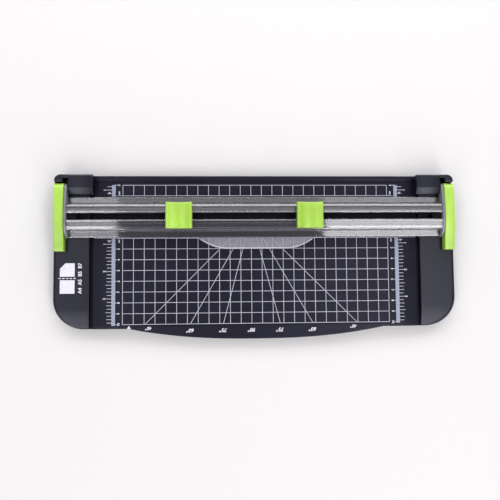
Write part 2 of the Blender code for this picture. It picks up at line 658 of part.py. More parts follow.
def cutter_shoe(word, x, material, slide):
    """Black runner inside the channel, with a window for the blade holder and a pocket for each spring."""
    half, corner = SHOE_HALF_WIDTH, SHOULDER - RAIL_WALL
    outline = [(CUT_Y - half, RAIL_UNDER), (CUT_Y + half, RAIL_UNDER)]
    outline += arc((CUT_Y + half - corner, SHOE_TOP - corner), corner, 0, 90, 4)
    outline += arc((CUT_Y - half + corner, SHOE_TOP - corner), corner, 90, 180, 4)
    shoe = prism(f"{word}_cutter_shoe", outline, "X", x - SHOE_HALF_LENGTH, x + SHOE_HALF_LENGTH)
    above = SHOE_TOP + 10 * MM
    openings = (
        ("window", CHEEK_HALF + 0.4 * MM, CHEEK_OUTER + 0.3 * MM),
        ("slit", BLADE_RADIUS + 0.5 * MM, BLADE_HALF_THICKNESS + 0.5 * MM),
    )
    for name, half_x, half_y in openings:
        cut(shoe, box(f"{word}_{name}", (x - half_x, CUT_Y - half_y, 0), (x + half_x, CUT_Y + half_y, above)))
    pocket_radius, pocket_floor = SPRING_RADIUS + 0.6 * MM, SPRING_SEAT - 0.2 * MM
    for end, direction in SPRING_ENDS.items():
        centre = (x + direction * SPRING_X, CUT_Y)
        cut(shoe, rod(f"{word}_pocket_{end}", "Z", centre, pocket_radius, pocket_floor, above, 16))
    return finish(shoe, material, (x, CUT_Y, RAIL_UNDER), slide)


def thumb_top(x0):
    """Top of the thumb cap: a hollow across the middle for the thumb, rounded along all four edges."""

    def top(x, y):
        edge = min(THUMB_HALF - abs(x - x0), THUMB_HALF - abs(y - CUT_Y))
        across = (x - x0) / (THUMB_HALF - 2.2 * MM)
        dish = THUMB_DISH * max(0.0, 1 - across**2)
        return THUMB_TOP - dish - round_drop(edge, 1.0 * MM)

    return top


def thumb_cap(word, x, material, press):
    steps = [-1, -0.97, -0.92, -0.82, -0.6, -0.35, -0.12, 0.12, 0.35, 0.6, 0.82, 0.92, 0.97, 1]
    rows = [CUT_Y + THUMB_HALF * s for s in (-1, -0.97, -0.92, 0.92, 0.97, 1)]
    shares = [(s + 1) / 2 for s in steps]
    sides = (x - THUMB_HALF, x + THUMB_HALF)
    cap = height_solid(f"{word}_thumb_cap", rows, shares, lambda y: sides, thumb_top(x), THUMB_UNDER)
    inside = THUMB_HALF - THUMB_WALL
    low = (x - inside, CUT_Y - inside, THUMB_UNDER - 2 * MM)
    high = (x + inside, CUT_Y + inside, THUMB_CEILING)
    cut(cap, box(f"{word}_thumb_hollow", low, high))
    return finish(cap, material, (x, CUT_Y, THUMB_UNDER), press)


def blade_holder(word, x, material, press):
    """Fork that holds the axle: two cheeks through the rail's slot, under a head plate."""
    low = (x - CHEEK_HALF, CUT_Y - CHEEK_OUTER, BLADE_Z - 3.7 * MM)
    high = (x + CHEEK_HALF, CUT_Y + CHEEK_OUTER, HEAD_UNDER + 0.5 * MM)
    holder = box(f"{word}_blade_holder", low, high)
    low = (x - HEAD_HALF_LENGTH, CUT_Y - HEAD_HALF_WIDTH, HEAD_UNDER)
    high = (x + HEAD_HALF_LENGTH, CUT_Y + HEAD_HALF_WIDTH, HEAD_UNDER + HEAD_PLATE)
    join(holder, round_edges(box(f"{word}_holder_head", low, high), 0.3 * MM, 1))
    low = (x - CHEEK_HALF - 1 * MM, CUT_Y - CHEEK_INNER, BLADE_Z - 10 * MM)
    high = (x + CHEEK_HALF + 1 * MM, CUT_Y + CHEEK_INNER, HEAD_UNDER)
    cut(holder, box(f"{word}_holder_slit", low, high))
    ends = (CUT_Y - 5 * MM, CUT_Y + 5 * MM)
    cut(holder, rod(f"{word}_holder_bore", "Y", (x, BLADE_Z), AXLE_RADIUS + 0.15 * MM, *ends, 16))
    return finish(holder, material, (x, CUT_Y, BLADE_Z), press)


def blade_axle(word, x, material, press):
    reach = CHEEK_OUTER - 0.1 * MM
    axle = rod(f"{word}_blade_axle", "Y", (x, BLADE_Z), AXLE_RADIUS, CUT_Y - reach, CUT_Y + reach, 16)
    return finish(axle, material, (x, CUT_Y, BLADE_Z), press)


def blade_outline(x, toothed):
    """A plain disc, or a perforating wheel with a notch between each pair of teeth."""
    centre = (x, BLADE_Z)
    if not toothed:
        return arc(centre, BLADE_RADIUS, 0, 360 - 360 / BLADE_SIDES, BLADE_SIDES - 1)
    points, pitch = [], 360 / TEETH
    for i in range(TEETH):
        start = i * pitch
        points += arc(centre, BLADE_RADIUS, start, start + 0.58 * pitch, 2)
        points += arc(centre, BLADE_RADIUS - TOOTH_DEPTH, start + 0.66 * pitch, start + 0.92 * pitch, 1)
    return points


def round_blade(word, x, toothed, material, spin):
    low, high = CUT_Y - BLADE_HALF_THICKNESS, CUT_Y + BLADE_HALF_THICKNESS
    blade = prism(f"{word}_blade", blade_outline(x, toothed), "Y", low, high)
    ends = (CUT_Y - 5 * MM, CUT_Y + 5 * MM)
    cut(blade, rod(f"{word}_blade_bore", "Y", (x, BLADE_Z), AXLE_RADIUS + 0.2 * MM, *ends, 20))
    return finish(blade, material, (x, CUT_Y, BLADE_Z), spin)


def return_spring(name, x, material, slide):
    """Compression spring from its pocket in the shoe up to the holder's head."""
    low, high = SPRING_SEAT + SPRING_WIRE + 0.1 * MM, HEAD_UNDER - SPRING_WIRE - 0.1 * MM
    count = SPRING_TURNS * SPRING_STEPS
    curve = bpy.data.curves.new(name, "CURVE")
    curve.dimensions = "3D"
    curve.bevel_depth = SPRING_WIRE
    curve.bevel_resolution = 1
    curve.use_fill_caps = True
    spline = curve.splines.new("POLY")
    spline.points.add(count)
    for i in range(count + 1):
        angle = 2 * math.pi * i / SPRING_STEPS
        place = (
            x + SPRING_RADIUS * math.cos(angle),
            CUT_Y + SPRING_RADIUS * math.sin(angle),
            low + (high - low) * i / count,
        )
        spline.points[i].co = (*place, 1.0)
    spring = bpy.data.objects.new(name, curve)
    bpy.context.scene.collection.objects.link(spring)
    return finish(spring, material, (x, CUT_Y, SPRING_SEAT), slide)


def cutter(word, x, toothed, materials, hinge):
    """One cutter: a shoe that slides on the rail, a head that presses down in it and a blade that turns."""
    slide = add_joint_empty(f"{word}_cutter_slide", (x, CUT_Y, BLADE_Z), hinge)
    press = add_joint_empty(f"{word}_cutter_press", (x, CUT_Y, BLADE_Z), slide)
    spin = add_joint_empty(f"{word}_blade_spin", (x, CUT_Y, BLADE_Z), press)
    cutter_shoe(word, x, materials["black_abs"], slide)
    for end, direction in SPRING_ENDS.items():
        return_spring(f"{word}_spring_{end}", x + direction * SPRING_X, materials["steel"], slide)
    thumb_cap(word, x, materials["lime"], press)
    blade_holder(word, x, materials["black_abs"], press)
    blade_axle(word, x, materials["steel"], press)
    round_blade(word, x, toothed, materials["steel"], spin)


def build():
    clear_scene()
    materials = {
        "black_abs": make_material("black_abs", BLACK_ABS),
        "bed_black": make_material("bed_black", BED_BLACK),
        "strip_black": make_material("strip_black", STRIP_BLACK),
        "lime": make_material("lime", LIME),
        "clear": make_material("clear", CLEAR),
        "grey_plastic": make_material("grey_plastic", GREY_PLASTIC),
        "steel": make_material("steel", STEEL),
        "rubber": make_material("rubber", RUBBER),
    }
    base_tray(materials["bed_black"])
    cutting_strip(materials["strip_black"])
    for word in FOOT_PLACES:
        foot(word, materials["rubber"])
    hinge = add_joint_empty("rail_lift", (0, HINGE_Y, HINGE_Z))
    guide_rail(materials["clear"], hinge)
    press_strip("front", front_press_outline(), materials["clear"], hinge)
    press_strip("rear", rear_press_outline(), materials["clear"], hinge)
    for side, word in SIDES:
        end_cover(word, side, materials["black_abs"])
        hinge_pin(word, side, materials["steel"])
        for place in COVER_SCREWS:
            cover_screw(word, side, place, materials["steel"])
        end_arm(word, side, materials["grey_plastic"], hinge)
        end_cap(word, side, materials["lime"], hinge)
        rail_plug(word, side, materials["black_abs"], hinge)
        for place in RAIL_SCREWS:
            rail_screw(word, side, place, materials["steel"], hinge)
    cutter("left", LEFT_REST_X, False, materials, hinge)
    cutter("right", RIGHT_REST_X, True, materials, hinge)


build()
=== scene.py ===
"""Looks of the rotary paper trimmer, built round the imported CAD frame.

Metres, +Z up; sizes are millimetres times MM.
"""

import json
import math

import bmesh
import bpy
from mathutils import Euler, Matrix, Vector


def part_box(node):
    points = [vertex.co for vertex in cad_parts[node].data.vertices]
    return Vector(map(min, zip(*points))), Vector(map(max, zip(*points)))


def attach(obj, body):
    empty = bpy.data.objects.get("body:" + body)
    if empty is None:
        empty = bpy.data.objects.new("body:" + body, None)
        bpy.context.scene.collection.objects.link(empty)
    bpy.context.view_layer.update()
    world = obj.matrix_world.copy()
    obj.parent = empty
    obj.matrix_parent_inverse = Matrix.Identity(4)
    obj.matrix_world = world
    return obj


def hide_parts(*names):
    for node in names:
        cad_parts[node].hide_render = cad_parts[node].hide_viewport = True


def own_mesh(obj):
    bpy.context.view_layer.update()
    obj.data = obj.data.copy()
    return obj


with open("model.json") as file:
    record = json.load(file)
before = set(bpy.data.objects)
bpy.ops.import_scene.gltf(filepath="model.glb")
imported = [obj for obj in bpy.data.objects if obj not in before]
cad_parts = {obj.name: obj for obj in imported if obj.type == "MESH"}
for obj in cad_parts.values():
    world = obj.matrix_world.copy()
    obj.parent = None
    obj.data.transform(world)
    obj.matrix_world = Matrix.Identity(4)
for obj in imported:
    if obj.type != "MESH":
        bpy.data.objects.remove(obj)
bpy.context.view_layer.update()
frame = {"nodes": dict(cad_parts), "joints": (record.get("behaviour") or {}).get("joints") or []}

MM = 0.001
SIDES = (("left", -1), ("right", 1))

# Places and sizes read from the frame
strip_low, strip_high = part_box("cutting_strip")
tray_low, tray_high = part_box("base_tray")
cover_low, cover_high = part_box("right_end_cover")
rail_low, rail_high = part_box("guide_rail")
arm_low, arm_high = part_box("right_hinge_arm")
end_cap_low, end_cap_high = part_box("right_end_cap")
CUT_Y = (strip_low.y + strip_high.y) / 2
BED_TOP = strip_high.z + 0.3 * MM
COVER_INNER = 155.3 * MM
BED_HALF = 152.3 * MM
HALF_WIDTH = cover_high.x
REAR_Y = tray_high.y
FRONT_Y = cover_low.y
BULGE = FRONT_Y - tray_low.y
RIM_Z = tray_low.z
HINGE = Vector(next(j for j in frame["joints"] if j["name"] == "rail_lift")["pos_m"])

# Base
BULGE_HALF = 120.0 * MM
BULGE_POWER = 2.4
WALL = 2.4 * MM
DECK_UNDER = BED_TOP - 3.6 * MM
APRON_FOLD = FRONT_Y + 2.6 * MM
APRON_SLOPE = 2.2 / 13.0
FLANGE_TOP = 4.8 * MM
COVER_TOP = BED_TOP + 1.6 * MM
FRONT_CORNER = 28.0 * MM
REAR_CORNER = 7.0 * MM
LIP_TOP = BED_TOP + 2.0 * MM
SEAM_FLOOR = 8.6 * MM
CORE_UNDER = RIM_Z + 5.0 * MM
BLOCK_INNER = cover_low.x
BLOCK_OUTER = rail_high.x - 0.3 * MM
BLOCK_FRONT = 57.8 * MM
BLOCK_TOP = 22.0 * MM
POST_INNER = 178.0 * MM
POST_OUTER = HALF_WIDTH - 2.4 * MM

# Print on the bed, measured from the line that the blades follow
PRINT_ZERO_Y = CUT_Y + 0.8 * MM
PRINT_HEIGHT = 0.05 * MM
GRID_HALF = 125.0 * MM
GRID_STEP = 10.0 * MM
GRID_ROWS = (*range(-10, -1), 2, 3)  # centimetres from the cutting line
LINE_WIDTH = 0.5 * MM
INCH = 25.4 * MM
BAR_X = 133.4 * MM
BAR_WIDTH = 3.4 * MM


def new_object(name, builder):
    bmesh.ops.recalc_face_normals(builder, faces=builder.faces)
    mesh = bpy.data.meshes.new(name)
    builder.to_mesh(mesh)
    builder.free()
    obj = bpy.data.objects.new(name, mesh)
    bpy.context.scene.collection.objects.link(obj)
    return obj


def arc(centre, radius, start, end, steps):
    """Points along a round stretch of an outline; the angles are in degrees."""
    angles = [math.radians(start + (end - start) * i / steps) for i in range(steps + 1)]
    return [(centre[0] + radius * math.cos(a), centre[1] + radius * math.sin(a)) for a in angles]


def loft(name, loops):
    """A closed solid through loops that all have the same number of points, with a face over each end."""
    builder = bmesh.new()
    rings = [[builder.verts.new(p) for p in loop] for loop in loops]
    count = len(rings[0])
    for ring, following in zip(rings, rings[1:]):
        for i in range(count):
            j = (i + 1) % count
            builder.faces.new((ring[i], ring[j], following[j], following[i]))
    for ring in (rings[0], rings[-1]):
        builder.faces.new(ring)
    return new_object(name, builder)


def prism(name, outline, axis, low, high):
    """The outline pushed along an axis from low to high: (y, z) for X, (x, z) for Y, (x, y) for Z."""
    places = {
        "X": lambda p, h: (h, p[0], p[1]),
        "Y": lambda p, h: (p[0], h, p[1]),
        "Z": lambda p, h: (p[0], p[1], h),
    }
    return loft(name, [[places[axis](p, h) for p in outline] for h in (low, high)])


def rod(name, axis, centre, radius, low, high, sides=48):
    return prism(name, arc(centre, radius, 0, 360 - 360 / sides, sides - 1), axis, low, high)


def turned(name, profile, place, axis="Z", steps=72, radius_at=None):
    """A solid turned about an axis from (radius, height) points; radius_at can vary a radius round it."""
    turn = {"Z": Matrix.Identity(3), "Y": Matrix.Rotation(math.radians(-90), 3, "X")}[axis]
    builder = bmesh.new()
    rings = []
    for i in range(steps):
        angle = 2 * math.pi * i / steps
        ring = []
        for radius, height in profile:
            r = radius_at(radius, angle) if radius_at else radius
            point = Vector((r * math.cos(angle), r * math.sin(angle), height))
            ring.append(builder.verts.new(turn @ point + Vector(place)))
        rings.append(ring)
    for i in range(steps):
        ring, following = rings[i], rings[(i + 1) % steps]
        for j in range(len(profile) - 1):
            builder.faces.new((ring[j], ring[j + 1], following[j + 1], following[j]))
    bmesh.ops.remove_doubles(builder, verts=builder.verts, dist=1e-7)
    return new_object(name, builder)


def height_solid(name, rows, shares, span, top, bottom):
    """A solid whose top, for each y in rows, runs across span(y) at the height top(x, y)."""
    builder = bmesh.new()
    upper, lower = [], []
    for y in rows:
        x0, x1 = span(y)
        across = [x0 + (x1 - x0) * share for share in shares]
        upper.append([builder.verts.new((x, y, top(x, y))) for x in across])
        lower.append([builder.verts.new((x, y, bottom)) for x in across])
    last_row, last = len(rows) - 1, len(shares) - 1
    for i in range(last_row):
        for j in range(last):
            builder.faces.new((upper[i][j], upper[i][j + 1], upper[i + 1][j + 1], upper[i + 1][j]))
            builder.faces.new((lower[i][j], lower[i + 1][j], lower[i + 1][j + 1], lower[i][j + 1]))
        for j in (0, last):
            builder.faces.new((upper[i][j], upper[i + 1][j], lower[i + 1][j], lower[i][j]))
    for i in (0, last_row):
        for j in range(last):
            builder.faces.new((upper[i][j], upper[i][j + 1], lower[i][j + 1], lower[i][j]))
    return new_object(name, builder)


def bake(obj):
    """Replaces the object's mesh with what its modifiers make of it."""
    graph = bpy.context.evaluated_depsgraph_get()
    mesh = bpy.data.meshes.new_from_object(obj.evaluated_get(graph), depsgraph=graph)
    obj.modifiers.clear()
    obj.data = mesh
    return obj


def combine(target, tools, operation):
    for tool in tools:
        modifier = target.modifiers.new(tool.name, "BOOLEAN")
        modifier.operation = operation
        modifier.solver = "EXACT"
        modifier.object = tool
    bake(target)
    for tool in tools:
        bpy.data.objects.remove(tool, do_unlink=True)
    return target


def cut(target, *tools):
    return combine(target, tools, "DIFFERENCE")


def join(target, *tools):
    return combine(target, tools, "UNION")


def bevel(obj, width, segments=3, angle=40):
    modifier = obj.modifiers.new("rounded_edges", "BEVEL")
    modifier.width = width
    modifier.segments = segments
    modifier.limit_method = "ANGLE"
    modifier.angle_limit = math.radians(angle)
    return obj


def round_edges(obj, width, segments=3, angle=40):
    return bake(bevel(obj, width, segments, angle))


def dress(obj, material, body, slot, *nodes, smooth=35):
    """Shades a new piece, gives it its material and hangs it on its body, for the CAD nodes named."""
    obj.data.materials.clear()
    obj.data.materials.append(material)
    obj.data.shade_smooth()
    obj.data.set_sharp_from_angle(angle=math.radians(smooth))
    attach(obj, body)
    if nodes:
        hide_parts(*nodes)
    return obj


def dress_node(name, material, width=0.25 * MM):
    """Keeps a CAD node, with a new material and softened edges."""
    node = frame["nodes"][name]
    node.data.materials.clear()
    node.data.materials.append(material)
    weld = node.modifiers.new("weld", "WELD")
    weld.merge_threshold = 1e-6
    if width:
        bevel(node, width, 2)
    node.data.shade_smooth()
    normals = node.modifiers.new("normals", "WEIGHTED_NORMAL")
    normals.keep_sharp = False
    return node


# ---------------------------------------------------------------- materials


class Shading:
    """A material's node tree, with short ways to add and link nodes."""

    def __init__(self, name):
        self.material = bpy.data.materials.new(name)
        self.material.use_nodes = True
        self.tree = self.material.node_tree
        self.shader = self.tree.nodes["Principled BSDF"]
        self.output = self.tree.nodes["Material Output"]
        self.coordinates = self.node("ShaderNodeTexCoord").outputs["Object"]

    def node(self, kind, **values):
        made = self.tree.nodes.new(kind)
        for key, value in values.items():
            if key in made.inputs:
                made.inputs[key].default_value = value
            else:
                setattr(made, key, value)
        return made

    def link(self, output, socket):
        self.tree.links.new(output, socket)

    def noise(self, scale, stretch=(1, 1, 1), detail=3.0):
        """Noise of about 1 / scale metres, drawn out along the axes with a small stretch value."""
        mapping = self.node("ShaderNodeMapping", Scale=stretch)
        self.link(self.coordinates, mapping.inputs["Vector"])
        noise = self.node("ShaderNodeTexNoise", Scale=scale, Detail=detail)
        self.link(mapping.outputs["Vector"], noise.inputs["Vector"])
        return noise.outputs["Fac"]

    def between(self, factor, low, high, start=0.3, end=0.7):
        """A number that runs from low to high as the factor runs from start to end."""
        scaled = self.node("ShaderNodeMapRange")
        for key, value in (("From Min", start), ("From Max", end), ("To Min", low), ("To Max", high)):
            scaled.inputs[key].default_value = value
        self.link(factor, scaled.inputs["Value"])
        return scaled.outputs["Result"]

    def blend(self, factor, first, second):
        """A colour between two, each a colour or another node's output."""
        mix = self.node("ShaderNodeMix", data_type="RGBA")
        self.link(factor, mix.inputs[0])
        for socket, value in ((mix.inputs[6], first), (mix.inputs[7], second)):
            if isinstance(value, tuple):
                socket.default_value = (*value, 1.0)
            else:
                self.link(value, socket)
        return mix.outputs[2]

    def bump(self, height, distance, strength=1.0):
        bump = self.node("ShaderNodeBump", Distance=distance, Strength=strength)
        self.link(height, bump.inputs["Height"])
        self.link(bump.outputs["Normal"], self.shader.inputs["Normal"])


def shade(colour, factor):
    return tuple(min(c * factor, 1.0) for c in colour)


def moulded_plastic(name, colour, roughness, grain=1400, grain_depth=0.012 * MM, scuff=0.25, specular=0.5):
    """Moulded plastic: fine grain, faint cloudiness in the colour, and thin scuffs that lighten the colour.
    """
    s = Shading(name)
    cloud = s.between(s.noise(35, detail=4), 0.0, 1.0)
    body = s.blend(cloud, shade(colour, 0.86), shade(colour, 1.14))
    scratches = s.between(s.noise(260, (0.06, 1, 1), 6), 0.0, 1.0, 0.6, 0.74)
    body = s.blend(scratches, body, shade(colour, 1.0 + scuff))
    s.link(body, s.shader.inputs["Base Color"])
    fine = s.noise(grain, detail=2)
    s.link(s.between(fine, roughness - 0.025, roughness + 0.025), s.shader.inputs["Roughness"])
    s.shader.inputs["Specular IOR Level"].default_value = specular
    if max(colour) < 0.05:
        s.shader.inputs["Specular Tint"].default_value = (0.85, 0.85, 1.0, 1.0)
    s.bump(fine, grain_depth)
    return s.material


def steel(name, stretch, roughness=0.28):
    s = Shading(name)
    lines = s.noise(900, stretch, 5)
    s.link(s.blend(lines, (0.50, 0.50, 0.52), (0.70, 0.70, 0.72)), s.shader.inputs["Base Color"])
    s.link(s.between(lines, roughness - 0.08, roughness + 0.1), s.shader.inputs["Roughness"])
    s.shader.inputs["Metallic"].default_value = 1.0
    s.bump(lines, 0.006 * MM)
    return s.material


def rubber(name):
    s = Shading(name)
    fine = s.noise(2200, detail=4)
    s.link(s.blend(fine, (0.012, 0.012, 0.013), (0.035, 0.034, 0.034)), s.shader.inputs["Base Color"])
    s.link(s.between(fine, 0.75, 0.95), s.shader.inputs["Roughness"])
    s.bump(fine, 0.04 * MM)
    return s.material


def ink(name, colour):
    """Matte paint, a little uneven: screen-printed ink for the print, and the pale painted highlight on the
    finger tab's rim.
    """
    s = Shading(name)
    patchy = s.between(s.noise(700, detail=4), 0.0, 1.0)
    s.link(s.blend(patchy, shade(colour, 0.84), shade(colour, 1.1)), s.shader.inputs["Base Color"])
    s.link(s.between(s.noise(1500), 0.5, 0.7), s.shader.inputs["Roughness"])
    return s.material


def clear_plastic(name, colour, tint, share, roughness=0.05, gloss=0.13, edge_glow_share=0.28, frost=None):
    """See-through plastic: share of it is haze, and gloss is its mirror strength; steep faces get more haze,
    a painted highlight that makes edges shine.

    Frost is (share, y): in front of that y the plastic is frosted, with its own share of haze.
    """
    s = Shading(name)
    haze = s.between(s.noise(500, (0.03, 1, 1)), 0.0, 1.0)
    s.link(s.blend(haze, shade(colour, 0.94), shade(colour, 1.05)), s.shader.inputs["Base Color"])
    s.shader.inputs["Roughness"].default_value = 0.5
    s.shader.inputs["Specular IOR Level"].default_value = 0.0
    through = s.node("ShaderNodeBsdfTransparent")
    through.inputs["Color"].default_value = (*tint, 1.0)
    body = s.between(haze, share * 0.92, share * 1.08)
    if frost:
        place = s.node("ShaderNodeSeparateXYZ")
        s.link(s.coordinates, place.inputs[0])
        near = s.between(place.outputs["Y"], 1.0, 0.0, frost[1] - 0.3 * MM, frost[1] + 0.3 * MM)
        extra = s.node("ShaderNodeMath", operation="MULTIPLY_ADD")
        s.link(near, extra.inputs[0])
        extra.inputs[1].default_value = frost[0] - share
        s.link(body, extra.inputs[2])
        body = extra.outputs[0]
    # Steep faces take extra haze: a painted highlight that brightens the plastic's edges.
    normal = s.node("ShaderNodeSeparateXYZ")
    s.link(s.node("ShaderNodeNewGeometry").outputs["Normal"], normal.inputs[0])
    steep = s.node("ShaderNodeMath", operation="ABSOLUTE")
    s.link(normal.outputs["Z"], steep.inputs[0])
    edge = s.node("ShaderNodeMath", operation="MAXIMUM")
    s.link(s.between(steep.outputs[0], edge_glow_share, 0.0, 0.3, 0.95), edge.inputs[0])
    s.link(body, edge.inputs[1])
    inside = s.node("ShaderNodeMixShader")
    s.link(edge.outputs[0], inside.inputs[0])
    s.link(through.outputs[0], inside.inputs[1])
    s.link(s.shader.outputs[0], inside.inputs[2])
    shine = s.node("ShaderNodeBsdfGlossy")
    s.link(s.between(haze, roughness * 0.95, roughness * 1.05, 0.0, 1.0), shine.inputs["Roughness"])
    slant = s.node("ShaderNodeFresnel", IOR=1.5)
    mix = s.node("ShaderNodeMixShader")
    s.link(s.between(slant.outputs["Fac"], gloss, 1.0, 0.04, 1.0), mix.inputs[0])
    s.link(inside.outputs[0], mix.inputs[1])
    s.link(shine.outputs[0], mix.inputs[2])
    s.link(mix.outputs[0], s.output.inputs["Surface"])
    return s.material


bed_black = moulded_plastic("bed_black_satin", (0.0095, 0.009, 0.018), 0.36, specular=0.16)
cover_black = moulded_plastic("cover_black_grained", (0.004, 0.004, 0.0095), 0.32, grain=1100, specular=0.44)
inner_black = moulded_plastic("inner_black", (0.009, 0.009, 0.011), 0.5, specular=0.2)
# The cutting strip's own black; on the seam floors and the slot-end inlays it is painted shade.
strip_and_shade_black = moulded_plastic("strip_and_shade_black_soft", (0.005, 0.005, 0.006), 0.62, grain=900, specular=0.12)
lime = moulded_plastic("lime_gloss", (0.295, 0.503, 0.042), 0.3, 1600, 0.001 * MM, 0.03, 0.9)
clear = clear_plastic("clear_rail", (0.40, 0.385, 0.46), (0.86, 0.86, 0.89), 0.05, 0.05)
# Lighter, hazier plastic for the thin strips on the slot's bead crests: a painted highlight.
painted_slot_highlight = clear_plastic("slot_edge_painted_highlight", (0.46, 0.46, 0.51), (0.86, 0.86, 0.89), 0.42, 0.16, 0.12)
strip_edge = rail_low.y - 0.2 * MM
frosted = clear_plastic(
    "clear_strip", (0.84, 0.82, 0.94), (0.9, 0.9, 0.93), 0.0, 0.2, 0.02, 0.95, frost=(0.19, strip_edge)
)
smoky = clear_plastic("smoky_grey", (0.20, 0.22, 0.22), (0.35, 0.37, 0.36), 0.72, 0.18, 0.05, 0.8)
steel_round = steel("steel_turned", (1, 1, 0.2))
steel_blade = steel("steel_blade", (1, 0.2, 1), 0.2)
rubber_black = rubber("rubber_black")
ink_grey = ink("ink_grey", (0.41, 0.41, 0.49))
ink_pale = ink("ink_pale", (0.62, 0.61, 0.68))
ink_blue = ink("ink_blue", (0.25, 0.275, 0.36))
# Pale matte line round the finger tab's edge: a painted highlight on its rounded rim.
rim_painted_highlight = ink("rim_painted_highlight", (0.46, 0.46, 0.50))


# ---------------------------------------------------------------- base


def bulge_front(x):
    """Front edge of the bed: straight at the ends, with the apron's bulge between them."""
    share = min(abs(x) / BULGE_HALF, 1.0)
    return FRONT_Y - BULGE * (1 - share**BULGE_POWER)


def apron_height(y):
    return BED_TOP - APRON_SLOPE * max(APRON_FOLD - y, 0.0)


def bed_section(x, drop):
    """Section (y, z) of the bed shell at x, lowered by drop at its outer ends."""
    front = bulge_front(x)
    radius = 1.3 * MM
    edge = apron_height(front)
    groove = 0.7 * MM * min(max((BULGE_HALF + 2 * MM - abs(x)) / (2 * MM), 0.0), 1.0)
    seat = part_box("cutting_strip")[0].z - 0.3 * MM
    half = (strip_high.y - strip_low.y) / 2 + 0.3 * MM
    top = [(front + 0.5 * MM, RIM_Z), (front + 0.1 * MM, RIM_Z + 0.3 * MM), (front, RIM_Z + 0.9 * MM)]
    top += arc((front + radius, edge - radius + 0.15 * MM), radius, 180, 96, 7)
    top += [
        (APRON_FOLD, BED_TOP),
        (APRON_FOLD + 0.15 * MM, BED_TOP - groove),
        (APRON_FOLD + 0.85 * MM, BED_TOP - groove),
        (APRON_FOLD + 1.0 * MM, BED_TOP),
        (CUT_Y - half - 0.2 * MM, BED_TOP),
        (CUT_Y - half, BED_TOP - 0.2 * MM),
        (CUT_Y - half, seat),
        (CUT_Y + half, seat),
        (CUT_Y + half, BED_TOP - 0.2 * MM),
        (CUT_Y + half + 0.2 * MM, BED_TOP),
        (REAR_Y - 5.8 * MM, BED_TOP),
        (REAR_Y - 5.7 * MM, BED_TOP + 0.3 * MM),
        (REAR_Y - 3.6 * MM, BED_TOP + 1.9 * MM),
        (REAR_Y - 3.2 * MM, BED_TOP + 2.0 * MM),
    ]
    top += arc((REAR_Y - 1.2 * MM, BED_TOP + 0.8 * MM), 1.2 * MM, 90, 0, 6)
    top += [(REAR_Y, RIM_Z + 0.6 * MM), (REAR_Y - 0.5 * MM, RIM_Z)]
    top = [(y, z - drop if z > DECK_UNDER else z) for y, z in top]
    inner = [(REAR_Y - WALL, RIM_Z), (REAR_Y - WALL, DECK_UNDER)]
    inner += [(front + WALL, DECK_UNDER - 1.2 * MM), (front + WALL, RIM_Z)]
    return [(x, y, z) for y, z in top + inner]


def bed_shell():
    stations = [BULGE_HALF * i / 48 for i in range(49)] + [BULGE_HALF + 2 * MM, BED_HALF - 0.6 * MM]
    drops = {s: 0.0 for s in stations}
    drops.update({BED_HALF - 0.25 * MM: 0.12 * MM, BED_HALF: 0.45 * MM})
    right = sorted(drops.items())
    both = [(-x, d) for x, d in reversed(right[1:])] + right
    bed = loft("bed", [bed_section(x, d) for x, d in both])
    return dress(bed, bed_black, "base", "bed_black", "base_tray")


def add_block(builder, low, high):
    low, high = Vector(low), Vector(high)
    matrix = Matrix.Translation((low + high) / 2) @ Matrix.Diagonal((*(high - low), 1.0))
    bmesh.ops.create_cube(builder, size=1.0, matrix=matrix)


def underside():
    """Ribs, end walls and foot bosses under the bed, and the flanges that carry the end covers."""
    builder = bmesh.new()
    columns, rows, rib = 9, 4, 1.6 * MM
    top = DECK_UNDER + 0.3 * MM
    for i in range(columns + 1):
        x = -BED_HALF + WALL / 2 + (2 * BED_HALF - WALL) * i / columns
        half = WALL / 2 if i in (0, columns) else rib / 2
        front = max(bulge_front(x - half), bulge_front(x + half)) + 0.6 * MM
        low = (x - half, front, RIM_Z + 0.1 * MM)
        add_block(builder, low, (x + half, REAR_Y - 0.6 * MM, top if front > FRONT_Y else top - 1.5 * MM))
    for i in range(rows):
        y = FRONT_Y + (REAR_Y - FRONT_Y) * i / rows + (0.6 * MM if i == 0 else 0)
        add_block(
            builder,
            (-BED_HALF + 0.3 * MM, y, RIM_Z + 0.3 * MM),
            (BED_HALF - 0.3 * MM, y + rib, top - 1.0 * MM),
        )
    dress(new_object("bed_ribs", builder), bed_black, "base", "bed_black")
    for word in ("front_middle", "rear_middle"):
        low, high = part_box(f"{word}_foot")
        centre = (low + high) / 2
        boss = rod(f"{word}_boss", "Z", centre.xy, 8 * MM, RIM_Z, BED_TOP - 1.5 * MM, 64)
        dress(round_edges(boss, 0.4 * MM), bed_black, "base", "bed_black")
    for word, side in SIDES:
        outline = end_outline(BED_HALF - 1.0 * MM, WALL + 0.5 * MM, side)
        flange = round_edges(prism(f"{word}_flange", outline, "Z", RIM_Z, FLANGE_TOP), 0.3 * MM, 2)
        holes = []
        for place in ("front", "middle", "rear"):
            low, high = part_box(f"{word}_{place}_screw")
            centre = ((low + high) / 2).xy
            holes.append(rod(f"{word}_{place}_recess", "Z", centre, 3.3 * MM, 0, RIM_Z + 1.6 * MM))
        dress(cut(flange, *holes), bed_black, "base", "bed_black")
        # Floors of the seams between bed and covers, in the cutting strip's softer, darker black: painted
        # shade for the shade down in the seams.
        x0, x1 = sorted((side * (BED_HALF - 1.0 * MM), side * (COVER_INNER - 0.3 * MM)))
        floor_outline = [(x0, FRONT_Y + 0.2 * MM), (x1, FRONT_Y + 0.2 * MM)]
        floor_outline += [(x1, REAR_Y - 0.5 * MM), (x0, REAR_Y - 0.5 * MM)]
        seam = prism(f"{word}_seam_floor", floor_outline, "Z", RIM_Z + 0.05 * MM, SEAM_FLOOR)
        dress(seam, strip_and_shade_black, "base", "bed_black")


